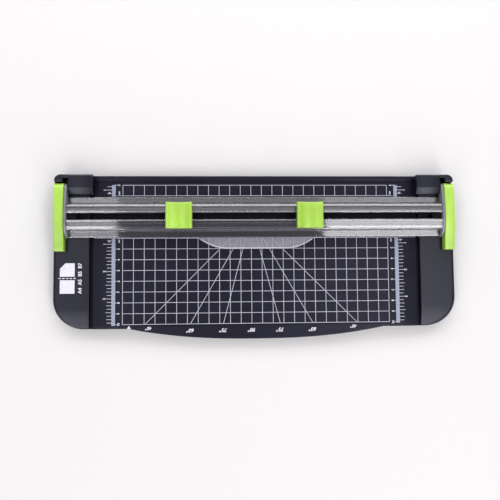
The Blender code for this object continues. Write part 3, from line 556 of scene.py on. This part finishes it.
def end_outline(inner, inset, side):
    """Plan of one end of the base, from the inner seam outwards, its free edges drawn in by an inset."""
    outer, front, rear = HALF_WIDTH - inset, FRONT_Y + inset, REAR_Y - inset
    front_centre = (HALF_WIDTH - FRONT_CORNER, FRONT_Y + FRONT_CORNER)
    rear_radius = max(REAR_CORNER - inset, 1.0 * MM)
    points = [(inner, front)]
    points += arc(front_centre, FRONT_CORNER - inset, -90, 0, 24)
    points += arc((outer - rear_radius, rear - rear_radius), rear_radius, 0, 90, 8)
    points += [(inner, rear)]
    return [(side * x, y) for x, y in points]


def round_drop(distance, radius):
    """How far a surface falls at a distance from an edge that is rounded with this radius."""
    if distance >= radius:
        return 0.0
    return radius - math.sqrt(radius**2 - (radius - max(distance, 0.0)) ** 2)


def cover_top(x, y):
    """Height of an end cover: flat, rounded along its free edges, and falling away towards the front."""
    x = abs(x)
    edge = min(HALF_WIDTH - x, y - FRONT_Y, REAR_Y - y)
    centre = (HALF_WIDTH - FRONT_CORNER, FRONT_Y + FRONT_CORNER)
    if x > centre[0] and y < centre[1]:
        edge = FRONT_CORNER - math.hypot(x - centre[0], y - centre[1])
    rear = (HALF_WIDTH - REAR_CORNER, REAR_Y - REAR_CORNER)
    if x > rear[0] and y > rear[1]:
        edge = REAR_CORNER - math.hypot(x - rear[0], y - rear[1])
    fall_start, fall = -46 * MM, 2.6 * MM
    share = max(fall_start - y, 0.0) / (fall_start - FRONT_Y)
    return COVER_TOP - fall * share**2 - round_drop(edge, 2.5 * MM) - round_drop(x - COVER_INNER, 0.5 * MM)


def cover_span(side):
    """The cover's reach across X at each y, for height_solid."""

    def span(y):
        outer = HALF_WIDTH
        if y < FRONT_Y + FRONT_CORNER:
            run = FRONT_CORNER**2 - (FRONT_Y + FRONT_CORNER - y) ** 2
            outer += math.sqrt(max(run, 0)) - FRONT_CORNER
        if y > REAR_Y - REAR_CORNER:
            run = REAR_CORNER**2 - (y - REAR_Y + REAR_CORNER) ** 2
            outer += math.sqrt(max(run, 0)) - REAR_CORNER
        return side * COVER_INNER, side * outer

    return span


def end_cover(word, side):
    degrees = (0, 4, 8, 12, 16, 20, *range(25, 91, 5))
    rows = [FRONT_Y + FRONT_CORNER * (1 - math.cos(math.radians(a))) for a in degrees]
    rows += [-30 * MM, 0.0, 40 * MM]
    rows += [REAR_Y - REAR_CORNER * (1 - math.sin(math.radians(a))) for a in range(0, 91, 9)]
    shares = (0, 0.004, 0.015, 0.03, 0.06, 0.25, 0.5, 0.75, 0.86, 0.9, 0.925, 0.95, 0.97, 0.985, 0.995, 1)
    cover = height_solid(f"{word}_cover", rows, shares, cover_span(side), cover_top, RIM_Z)
    cut(cover, prism("hollow", end_outline(COVER_INNER - 2 * MM, WALL, side), "Z", 0, FLANGE_TOP + 0.3 * MM))
    block_profile = [(BLOCK_FRONT, CORE_UNDER), (BLOCK_FRONT, 18.0 * MM), (64 * MM, BLOCK_TOP)]
    block_profile += [(REAR_Y - 1.2 * MM, BLOCK_TOP), (REAR_Y, BLOCK_TOP - 1.2 * MM), (REAR_Y, CORE_UNDER)]
    ends = sorted((side * BLOCK_INNER, side * BLOCK_OUTER))
    block = round_edges(prism("block", block_profile, "X", *ends), 1.0 * MM, 4)
    ends = sorted((side * (BLOCK_INNER - 1 * MM), side * (COVER_INNER + 0.4 * MM)))
    below = [(BLOCK_FRONT - 1 * MM, 0), (REAR_Y + 1 * MM, 0)]
    below += [(REAR_Y + 1 * MM, LIP_TOP + 0.4 * MM), (BLOCK_FRONT - 1 * MM, LIP_TOP + 0.4 * MM)]
    cut(block, prism("seam_room", below, "X", *ends))
    corner, post_front = REAR_CORNER - 1.0 * MM, end_cap_high.y + 1.0 * MM
    outline = [(POST_INNER, post_front), (POST_OUTER, post_front)]
    outline += arc((POST_OUTER - corner, REAR_Y - corner), corner, 0, 90, 12)
    outline = [(side * x, y) for x, y in [*outline, (POST_INNER, REAR_Y)]]
    post = round_edges(prism("post", outline, "Z", CORE_UNDER, BLOCK_TOP), 1.0 * MM, 4, 30)
    bridge_front, bridge_rear = REAR_Y - 3.1 * MM, REAR_Y - 0.15 * MM
    bridge = [
        (bridge_front, CORE_UNDER),
        (bridge_front, BLOCK_TOP - 0.6 * MM),
        (bridge_front + 0.4 * MM, BLOCK_TOP - 0.2 * MM),
        (bridge_rear - 0.9 * MM, BLOCK_TOP - 0.2 * MM),
        (bridge_rear, BLOCK_TOP - 1.1 * MM),
        (bridge_rear, CORE_UNDER),
    ]
    ends = sorted((side * (BLOCK_OUTER - 2 * MM), side * (POST_INNER + 2 * MM)))
    join(cover, block, post, prism("bridge", bridge, "X", *ends))
    dress(cover, cover_black, "base", "black_abs", f"{word}_end_cover", smooth=30)


def cover_pad(word, side):
    """Soft black inlay in the cover, which carries the cutting line on to the end of the slot; partly painted
    shade, a dark piece where the slot looks down into shade.
    """
    half = (strip_high.y - strip_low.y) / 2 + 0.3 * MM
    outline = [(x, CUT_Y + y) for x, y in ((COVER_INNER + 0.8 * MM, -half), (rail_high.x, -half))]
    outline += [(x, CUT_Y + y) for x, y in ((rail_high.x, half), (COVER_INNER + 0.8 * MM, half))]
    outline = [(side * x, y) for x, y in outline]
    # Painted shade: the inlay darkens the cover where it lies in the shade under the slot.
    shade_inlay = prism(f"{word}_pad", outline, "Z", COVER_TOP - 0.5 * MM, COVER_TOP + 0.05 * MM)
    dress(shade_inlay, strip_and_shade_black, "base", "black_abs")


def feet():
    profile = [(0, 0), (1.6, 0), (1.9, 0.3), (2.4, 0.3), (2.7, 0), (5.3, 0), (5.7, 0.12), (5.95, 0.5)]
    profile = [(r * MM, h * MM) for r, h in profile]
    for word in ("front_left", "front_middle", "front_right", "rear_left", "rear_middle", "rear_right"):
        low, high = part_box(f"{word}_foot")
        centre = (low + high) / 2
        top = [(5.8 * MM, high.z), (0, high.z)]
        foot = turned(f"{word}_rubber", profile + top, (centre.x, centre.y, 0))
        dress(foot, rubber_black, "base", "rubber", f"{word}_foot")


# ---------------------------------------------------------------- print


def add_line(builder, start, end, width, base, height=PRINT_HEIGHT):
    """A thin printed line between two points of the plan, lying on the surface at base."""
    start, end = Vector(start), Vector(end)
    along = (end - start).normalized()
    side = Vector((-along.y, along.x)) * width / 2
    corners = (start + side, start - side, end - side, end + side)
    low = [builder.verts.new((p.x, p.y, base - 0.01 * MM)) for p in corners]
    high = [builder.verts.new((p.x, p.y, base + height)) for p in corners]
    builder.faces.new(low)
    builder.faces.new(high)
    for i in range(4):
        j = (i + 1) % 4
        builder.faces.new((low[i], low[j], high[j], high[i]))


def printed_grid():
    """Centimetre squares in front of and behind the rail."""
    builder = bmesh.new()
    width = LINE_WIDTH
    for first, last in ((-10, -2), (2, 3)):
        for i in range(26):
            x = -GRID_HALF + i * GRID_STEP
            ends = ((x, PRINT_ZERO_Y + first * GRID_STEP), (x, PRINT_ZERO_Y + last * GRID_STEP))
            add_line(builder, *ends, width, BED_TOP, PRINT_HEIGHT - 0.01 * MM)
    for row in GRID_ROWS:
        y = PRINT_ZERO_Y + row * GRID_STEP
        add_line(builder, (-GRID_HALF, y), (GRID_HALF, y), width, BED_TOP)
    dress(new_object("printed_grid", builder), ink_grey, "base", "bed_black")


FAN_X = -5.0 * MM
FAN_ANGLES = (-45, -30, -15, 15, 30, 45)


def fan_x(angle, y):
    return FAN_X + (CUT_Y - y) * math.tan(math.radians(angle))


def printed_fan():
    """Guide lines for angled cuts, which meet on the cutting line."""
    builder = bmesh.new()
    near, far = PRINT_ZERO_Y - 20 * MM, PRINT_ZERO_Y - 100 * MM
    for angle in FAN_ANGLES:
        near_end, far_end = ((fan_x(angle, y), y) for y in (near, far))
        add_line(builder, near_end, far_end, LINE_WIDTH, BED_TOP, 0.055 * MM)
    dress(new_object("printed_fan", builder), ink_grey, "base", "bed_black")


def printed_rulers():
    """A thick bar each side of the squares, with eighth-inch ticks outside it and centimetre ticks inside."""
    bars, ticks = bmesh.new(), bmesh.new()
    edge = BAR_WIDTH / 2
    for first, last in ((-100, -20), (20, 30)):
        low, high = PRINT_ZERO_Y + first * MM, PRINT_ZERO_Y + last * MM
        for _, side in SIDES:
            add_line(bars, (side * BAR_X, low - 1 * MM), (side * BAR_X, high), BAR_WIDTH, BED_TOP, 0.06 * MM)
            first_eighth = math.ceil(8 * (low - PRINT_ZERO_Y) / INCH)
            last_eighth = math.floor(8 * (high - PRINT_ZERO_Y) / INCH)
            eighths = range(first_eighth, last_eighth + 1)
            for n in eighths:
                y = PRINT_ZERO_Y + n * INCH / 8
                reach = edge + {0: 5.0, 4: 5.4, 2: 4.7, 6: 4.7}.get(n % 8, 4.2) * MM
                add_line(ticks, (side * BAR_X, y), (side * (BAR_X + reach), y), 0.5 * MM, BED_TOP)
            for n in range(int(first / 10), int(last / 10) + 1):
                y = PRINT_ZERO_Y + n * GRID_STEP
                add_line(ticks, (side * BAR_X, y), (side * (BAR_X - edge - 1.6 * MM), y), LINE_WIDTH, BED_TOP)
        top = high if first < 0 else low
        for _, side in SIDES:
            add_line(ticks, (side * GRID_HALF, top), (side * BAR_X, top), LINE_WIDTH, BED_TOP)
    dress(new_object("printed_bars", bars), ink_blue, "base", "bed_black")
    dress(new_object("printed_ticks", ticks), ink_grey, "base", "bed_black")


def lettering(builder, text, place, size, turn=0.0, tilt=0.0, slant=0.0):
    """Adds thin raised text to the builder, with its middle at place."""
    curve = bpy.data.curves.new("lettering", "FONT")
    curve.body = text
    curve.size = size
    curve.align_x, curve.align_y = "CENTER", "CENTER"
    curve.extrude = PRINT_HEIGHT / 2
    curve.offset = size * 0.03
    curve.shear = slant
    curve.resolution_u = 4
    obj = bpy.data.objects.new("lettering", curve)
    mesh = bpy.data.meshes.new_from_object(obj)
    rotation = Euler((math.radians(tilt), 0, math.radians(turn))).to_matrix().to_4x4()
    mesh.transform(Matrix.Translation(place) @ rotation)
    builder.from_mesh(mesh)
    bpy.data.objects.remove(obj, do_unlink=True)


def printed_numbers():
    builder = bmesh.new()
    for _, side in SIDES:
        for n in GRID_ROWS:
            place = (side * 128.5 * MM, PRINT_ZERO_Y + n * GRID_STEP, BED_TOP)
            if n not in (-2, 2):
                lettering(builder, str(abs(n)), place, 2.9 * MM, turn=-90 * side)
        for n in (-3, -2, -1, 1):
            place = (side * 141.6 * MM, PRINT_ZERO_Y + n * INCH, BED_TOP)
            lettering(builder, str(abs(n)), place, 3.2 * MM, turn=-90 * side)
        for y in (PRINT_ZERO_Y - 22.6 * MM, PRINT_ZERO_Y + 22.6 * MM):
            lettering(builder, "cm", (side * 128.4 * MM, y, BED_TOP), 2.6 * MM, turn=-90 * side)
            lettering(builder, "in", (side * 137.4 * MM, y, BED_TOP), 2.6 * MM, turn=-90 * side)
    dress(new_object("printed_numbers", builder), ink_pale, "base", "bed_black")
    labels = bmesh.new()
    tilt = math.degrees(math.atan(APRON_SLOPE))
    line_end = PRINT_ZERO_Y - 100 * MM
    for angle in (*FAN_ANGLES, 0):
        outer = abs(angle) == 45
        y = line_end - (3.6 if outer else 6.0) * MM
        x = FAN_X + (fan_x(angle, line_end) - FAN_X) * (0.966 if outer else 1.0)
        place = (x, y, apron_height(y) + 0.02 * MM)
        label_height = (4.1 if outer else 4.9) * MM
        lettering(labels, f"{90 - abs(angle)}°", place, label_height, turn=180, tilt=-tilt, slant=0.25)
    dress(new_object("printed_labels", labels), ink_pale, "base", "bed_black")


def start_mark():
    """Small triangle that points at the first square."""
    builder = bmesh.new()
    centre = Vector((-119 * MM, PRINT_ZERO_Y - 102.6 * MM))
    for i in range(5):
        half = (1.6 - 0.32 * i) * MM
        y = centre.y - 1.2 * MM + i * 0.55 * MM
        ends = (centre.x - half, y), (centre.x + half, y)
        add_line(builder, *ends, 0.6 * MM, apron_height(y))
    dress(new_object("printed_triangle", builder), ink_pale, "base", "bed_black")


def cover_icon():
    """A plain icon on the left cover, read from the left: a sheet cut in two, and paper sizes under it."""
    builder = bmesh.new()
    x0, x1, y0, y1, fold, gap = -182.0 * MM, -168.5 * MM, -33.0 * MM, -5.0 * MM, 5.0 * MM, 1.6 * MM
    cut_y = (y0 + y1) / 2
    half_sheets = (
        [(x0, y0), (x1, y0), (x1, cut_y - gap), (x0, cut_y - gap)],
        [(x0, cut_y + gap), (x1, cut_y + gap), (x1, y1), (x0 + fold, y1), (x0, y1 - fold)],
    )
    for outline in half_sheets:
        levels = (COVER_TOP - 0.01 * MM, COVER_TOP + PRINT_HEIGHT)
        low, high = ([builder.verts.new((x, y, z)) for x, y in outline] for z in levels)
        builder.faces.new(low)
        builder.faces.new(high)
        for i in range(len(outline)):
            j = (i + 1) % len(outline)
            builder.faces.new((low[i], low[j], high[j], high[i]))
    for i in range(5):
        x = x0 - 1.2 * MM + i * 3.4 * MM
        add_line(builder, (x, cut_y), (x + 2.2 * MM, cut_y), 0.8 * MM, COVER_TOP)
    lettering(builder, "A4  A5  B5  B7", (-163.6 * MM, cut_y, COVER_TOP), 4.6 * MM, turn=90)
    dress(new_object("cover_icon", builder), ink_pale, "base", "black_abs")


# ---------------------------------------------------------------- rail

RAIL_WALL = 2.2 * MM
CHANNEL_HALF = 13.0 * MM
SHOULDER = 3.8 * MM
SLOT_HALF = 3.1 * MM
BEAD = 0.8 * MM
BEAD_REACH = 1.8 * MM
RAIL_TOP = rail_high.z - BEAD


def rail_half(rise):
    """Half section of the rail (distance from cutting line, height); its top climbs by rise to the slot."""
    flange_half = rail_high.y - CUT_Y
    under, flange_top = rail_low.z, rail_low.z + 2 * MM
    inner, small = CHANNEL_HALF - RAIL_WALL, SHOULDER - RAIL_WALL
    points = [(inner, under), (flange_half - 0.3 * MM, under)]
    points += arc((flange_half - 0.8 * MM, under + 1.2 * MM), 0.8 * MM, 0, 90, 6)
    points += arc((CHANNEL_HALF + 0.8 * MM, flange_top + 0.8 * MM), 0.8 * MM, 270, 180, 5)
    wide = 5.0 * MM
    quarter = [math.radians(90 * i / 20) for i in range(21)]
    centre = (CHANNEL_HALF - wide, RAIL_TOP - SHOULDER)
    points += [(centre[0] + wide * math.cos(a), centre[1] + SHOULDER * math.sin(a)) for a in quarter]
    bead, crest = SLOT_HALF + BEAD_REACH, RAIL_TOP + BEAD
    points += [
        (bead + 0.1 * MM, RAIL_TOP + rise),
        (bead - 0.25 * MM, crest - 0.1 * MM),
        (bead - 0.5 * MM, crest),
    ]
    points += arc((SLOT_HALF + 0.4 * MM, crest - 0.4 * MM), 0.4 * MM, 90, 180, 4)
    points += [(SLOT_HALF, RAIL_TOP - RAIL_WALL)]
    points += arc((inner - small, RAIL_TOP - RAIL_WALL - small), small, 90, 0, 10)
    return points


def guide_rail():
    length = rail_high.x
    rear = [(CUT_Y + y, z) for y, z in rail_half(0.4 * MM)]
    front = [(CUT_Y - y, z) for y, z in rail_half(0.4 * MM)]
    rail = prism("clear_rail", rear, "X", -length, length)
    join(rail, prism("front_half", front, "X", -length, length))
    dress(rail, clear, "rail", "clear", "guide_rail", smooth=30)
    # Pale strips along the bead crests each side of the slot: a painted highlight where the crests catch the
    # light.
    lines = bmesh.new()
    for side in (-1, 1):
        y = CUT_Y + side * (SLOT_HALF + BEAD_REACH / 2 - 0.05 * MM)
        add_line(lines, (-length + 0.5 * MM, y), (length - 0.5 * MM, y), 0.9 * MM, RAIL_TOP + BEAD, 0.02 * MM)
    dress(new_object("slot_edge_highlights", lines), painted_slot_highlight, "rail", "clear")


TAB_ROOT, TAB_HALF = 55.0 * MM, 27.5 * MM


def tab_edge(root, tip, inset=0.0):
    """Plan of the finger tab's edge from left to right: a rounded flank each side of a straight front."""
    steps = 14
    shares = [i / steps for i in range(steps + 1)]
    depth = root - tip - inset
    flank = [(-TAB_ROOT + inset + (TAB_ROOT - TAB_HALF) * s, root - depth * s * (2 - s)) for s in shares]
    return [*flank, *[(-x, y) for x, y in reversed(flank)]]


def press_strips():
    low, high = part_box("front_press_strip")
    front = CUT_Y - 19.2 * MM
    outline = [(-high.x, front), *tab_edge(front, low.y)]
    outline += [(high.x, front), (high.x, high.y), (-high.x, high.y)]
    strip = round_edges(prism("front_strip", outline, "Z", low.z, high.z), 0.5 * MM, 3, 25)
    dress(strip, frosted, "rail", "clear", "front_press_strip")
    # Pale line just inside the tab's edge: a painted highlight that stands in for the light its rounded rim
    # catches.
    rim = tab_edge(front, low.y, 0.8 * MM)[1:-1]
    builder = bmesh.new()
    for ends in zip(rim, rim[1:]):
        add_line(builder, *ends, 0.8 * MM, high.z)
    dress(new_object("tab_rim_highlight", builder), rim_painted_highlight, "rail", "clear")
    low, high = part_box("rear_press_strip")
    outline = [(low.x, low.y), (high.x, low.y), (high.x, high.y), (low.x, high.y)]
    strip = round_edges(prism("rear_strip", outline, "Z", low.z, high.z), 0.35 * MM)
    dress(strip, frosted, "rail", "clear", "rear_press_strip")


# Fronts of the arm plate and of the green cap, as (millimetres in front of the cutting line, height)
ARM_FRONT = (
    (4.0, 25.3), (9.0, 24.7), (12.0, 23.8), (14.6, 22.4),
    (16.6, 20.7), (18.2, 18.8), (19.2, 17.2), (19.5, 16.2),
)
CAP_FRONT = ((4.5, 23.7), (9.0, 23.4), (15.0, 22.6), (19.0, 21.9), (22.5, 21.35), (26.0, 21.1))
CAP_NOSE = ((29.6, 20.95), (30.6, 20.7), (31.3, 20.2), (31.6, 19.5))


def arm_profile(heel, crown, front_run, under):
    """Side view (y, z) of an end arm: a round heel on the hinge, an arched back, and the given front."""
    points = arc((HINGE.y, HINGE.z), heel, -90, 90, 20)
    crown_y, shoulder = CUT_Y + 2 * MM, HINGE.z + heel
    for i in range(1, 17):
        share = i / 16
        y = HINGE.y + (crown_y - HINGE.y) * share
        points.append((y, shoulder + (crown - shoulder) * math.sin(share * math.pi / 2)))
    points += [(CUT_Y - y * MM, z * MM) for y, z in front_run]
    front = points[-1][0]
    return [*points, (front, under + 0.6 * MM), (front + 0.6 * MM, under)]


def end_pieces(word, side):
    low, high = arm_low, arm_high
    xs = sorted((side * low.x, side * high.x))
    profile = arm_profile(4.6 * MM, high.z, ARM_FRONT, low.z)
    arm = round_edges(prism(f"{word}_arm_plate", profile, "X", *xs), 0.4 * MM, 3, 30)
    ends = sorted((side * (low.x - 1 * MM), side * (high.x + 1 * MM)))
    cut(arm, rod("bore", "X", (HINGE.y, HINGE.z), 1.65 * MM, *ends))
    dress(arm, smoky, "rail", "grey_plastic", f"{word}_hinge_arm")
    low, high = end_cap_low, end_cap_high
    xs = sorted((side * low.x, side * high.x))
    profile = arm_profile(5.0 * MM, high.z, CAP_FRONT + CAP_NOSE, low.z)
    cap = round_edges(prism(f"{word}_green_cap", profile, "X", *xs), 1.3 * MM, 5, 30)
    y0, y1, z0, z1 = CUT_Y - 13 * MM, HINGE.y - 1.5 * MM, low.z + 1.6 * MM, 20.6 * MM
    ends = sorted((side * (low.x - 1 * MM), side * (high.x - 2.2 * MM)))
    hollow = prism("hollow", [(y0, z0), (y1, z0), (y1, z1), (y0 + 4 * MM, z1)], "X", *ends)
    dress(cut(cap, hollow), lime, "rail", "lime", f"{word}_end_cap")


# ---------------------------------------------------------------- cutters


def thumb_cap(word):
    low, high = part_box(f"{word}_thumb_cap")
    centre, half = (low + high) / 2, (high.x - low.x) / 2
    edge_radius, dish_half, dish_depth = 1.5 * MM, half - 2.0 * MM, 2.3 * MM

    def top(x, y):
        edge = min(half - abs(x - centre.x), half - abs(y - centre.y))
        across = (x - centre.x) / dish_half
        dish = dish_depth * (1 - across**2) if abs(across) < 1 else 0.0
        return high.z - dish - round_drop(edge, edge_radius)

    edge_steps = [half - edge_radius * (1 - math.sin(math.radians(a))) for a in range(0, 91, 15)]
    inner = [dish_half * i / 14 for i in range(15)]
    steps = sorted({-s for s in edge_steps + inner} | set(edge_steps + inner))
    rows = [centre.y + s for s in sorted({-s for s in edge_steps} | set(edge_steps) | {0.0})]
    shares = [(s + half) / (2 * half) for s in steps]
    cap = height_solid(f"{word}_green_thumb", rows, shares, lambda y: (low.x, high.x), top, low.z)
    wall = 1.6 * MM
    outline = [(low.x + wall, low.y + wall), (high.x - wall, low.y + wall)]
    outline += [(high.x - wall, high.y - wall), (low.x + wall, high.y - wall)]
    cut(cap, prism("hollow", outline, "Z", low.z - 2 * MM, 29.6 * MM))
    dress(cap, lime, f"{word}_head", "lime", f"{word}_thumb_cap")


def blade(word, toothed):
    low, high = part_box(f"{word}_blade")
    centre, radius = (low + high) / 2, (high.z - low.z) / 2
    half = (high.y - low.y) / 2
    bore, land = 1.4 * MM, radius - 1.6 * MM
    rim = radius - 0.02 * MM
    profile = [(bore, -half), (land, -half), (rim, -0.03 * MM), (radius, 0), (rim, 0.03 * MM)]
    profile += [(land, half), (bore, half), (bore, -half)]

    def notched(r, angle):
        phase = (angle / (2 * math.pi) * 20) % 1
        return r - 0.8 * MM if phase > 0.62 and r > land + 0.1 * MM else r

    disc = turned(f"{word}_round_blade", profile, centre, "Y", 160, notched if toothed else None)
    dress(disc, steel_blade, f"{word}_blade", "steel", f"{word}_blade", smooth=20)


def spring(word, end):
    """A coil spring, hung on its cutter's carriage."""
    low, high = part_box(f"{word}_spring_{end}")
    centre = (low + high) / 2
    wire, turns, per_turn = 0.25 * MM, 6, 24
    radius = (high.x - low.x) / 2 - wire
    bottom, top = low.z + wire, high.z - wire
    curve = bpy.data.curves.new("coil", "CURVE")
    curve.dimensions = "3D"
    curve.bevel_depth = wire
    curve.bevel_resolution = 3
    curve.use_fill_caps = True
    line = curve.splines.new("POLY")
    count = turns * per_turn
    line.points.add(count)
    for i in range(count + 1):
        angle = 2 * math.pi * i / per_turn
        share = i / count
        rise = share + 0.08 * math.sin(2 * math.pi * share) / (2 * math.pi)
        place = (
            centre.x + radius * math.cos(angle),
            centre.y + radius * math.sin(angle),
            bottom + (top - bottom) * rise,
        )
        line.points[i].co = (*place, 1.0)
    coil = bpy.data.objects.new("coil", curve)
    mesh = bpy.data.meshes.new_from_object(coil)
    bpy.data.objects.remove(coil, do_unlink=True)
    obj = bpy.data.objects.new(f"{word}_coil_{end}", mesh)
    bpy.context.scene.collection.objects.link(obj)
    dress(obj, steel_round, f"{word}_carriage", "steel", f"{word}_spring_{end}", smooth=60)
    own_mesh(obj)


# ---------------------------------------------------------------- stage


def softbox(name, place, aim, size, brightness):
    light = bpy.data.lights.new(name, "AREA")
    light.shape = "RECTANGLE"
    light.size, light.size_y = size
    light.energy = brightness * math.pi * size[0] * size[1]
    obj = bpy.data.objects.new(name, light)
    obj.location = place
    obj.rotation_euler = (Vector(aim) - Vector(place)).to_track_quat("-Z", "Y").to_euler()
    obj.visible_camera = False
    bpy.context.scene.collection.objects.link(obj)


def floor():
    """Pale floor, which the view from below and the light under it pass through."""
    builder = bmesh.new()
    bmesh.ops.create_grid(builder, x_segments=1, y_segments=1, size=6.0)
    plane = new_object("floor", builder)
    s = Shading("floor_pale")
    s.shader.inputs["Base Color"].default_value = (0.625, 0.610, 0.617, 1.0)
    s.shader.inputs["Roughness"].default_value = 0.9
    through = s.node("ShaderNodeBsdfTransparent")
    see_through = s.node("ShaderNodeMath", operation="MAXIMUM")
    s.link(s.node("ShaderNodeNewGeometry").outputs["Backfacing"], see_through.inputs[0])
    s.link(s.node("ShaderNodeLightPath").outputs["Is Shadow Ray"], see_through.inputs[1])
    mix = s.node("ShaderNodeMixShader")
    s.link(see_through.outputs[0], mix.inputs[0])
    s.link(s.shader.outputs[0], mix.inputs[1])
    s.link(through.outputs[0], mix.inputs[2])
    s.link(mix.outputs[0], s.output.inputs["Surface"])
    plane.data.materials.append(s.material)


def sky():
    """Studio world: dark overhead, and pale round the horizon."""
    world = bpy.data.worlds.new("studio")
    world.use_nodes = True
    tree = world.node_tree
    background = tree.nodes["Background"]
    background.inputs["Color"].default_value = (0.96, 0.96, 1.0, 1.0)
    height = tree.nodes.new("ShaderNodeSeparateXYZ")
    tree.links.new(tree.nodes.new("ShaderNodeTexCoord").outputs["Generated"], height.inputs[0])
    strength = tree.nodes.new("ShaderNodeMapRange")
    for key, value in (("From Min", 0.1), ("From Max", 0.7), ("To Min", 0.6), ("To Max", 0.12)):
        strength.inputs[key].default_value = value
    tree.links.new(height.outputs["Z"], strength.inputs["Value"])
    tree.links.new(strength.outputs["Result"], background.inputs["Strength"])
    return world


def studio():
    """Softboxes left and right with a dark gap between them, and panels behind and below."""
    scene = bpy.context.scene
    scene.view_settings.view_transform = "Standard"
    scene.world = sky()
    floor()
    strips = ((-0.20, 0.04, 0.6, 3.2), (0.04, 0.25, 2.9, 2.2))
    for index, (word, x, width) in enumerate((("left", -0.53, 0.40), ("right", 0.48, 0.42))):
        softbox(f"front_{word}", (x, -0.84, 0.745), (x, 0.17, -0.435), (width, 1.55), (4.4, 5.2)[index])
        for number, (y0, y1, *brightness) in enumerate(strips, 1):
            y = (y0 + y1) / 2
            softbox(f"top_{word}_{number}", (x, y, 1.2), (x, y, 0), (width, y1 - y0), brightness[index])
    softbox("rear_top", (0, 0.58, 1.2), (0, 0.3, 0), (2.4, 0.36), 1.0)
    softbox("rear_panel", (0, 1.0, 0.75), (0, 0, 0), (2.6, 0.7), 3.8)
    softbox("under_panel", (0, 0, -1.0), (0, 0, 0), (1.1, 0.7), 3.0)


def camera():
    data = bpy.data.cameras.new("camera")
    data.lens = 43.2
    data.sensor_width = 36.0
    data.clip_start, data.clip_end = 0.01, 20.0
    obj = bpy.data.objects.new("camera", data)
    obj.location = (-0.0340, -0.0293, BED_TOP + 0.5627)
    obj.rotation_euler = Euler([math.radians(a) for a in (3.66, -2.79, -0.49)])
    bpy.context.scene.collection.objects.link(obj)
    bpy.context.scene.camera = obj


bed_shell()
underside()
feet()
dress_node("cutting_strip", strip_and_shade_black, 0)
printed_grid()
printed_fan()
printed_rulers()
printed_numbers()
start_mark()
cover_icon()
guide_rail()
press_strips()
for word, side in SIDES:
    end_cover(word, side)
    cover_pad(word, side)
    end_pieces(word, side)
    dress_node(f"{word}_rail_plug", strip_and_shade_black)
    dress_node(f"{word}_hinge_pin", steel_round)
    for place in ("front", "middle", "rear"):
        dress_node(f"{word}_{place}_screw", steel_round, 0.1 * MM)
    for place in ("front", "rear"):
        dress_node(f"{word}_{place}_rail_screw", steel_round, 0.1 * MM)
    dress_node(f"{word}_cutter_shoe", inner_black)
    dress_node(f"{word}_blade_holder", inner_black, 0.15 * MM)
    dress_node(f"{word}_blade_axle", steel_round, 0.1 * MM)
    thumb_cap(word)
    blade(word, word == "right")
    for end in ("a", "b"):
        spring(word, end)
studio()
camera()
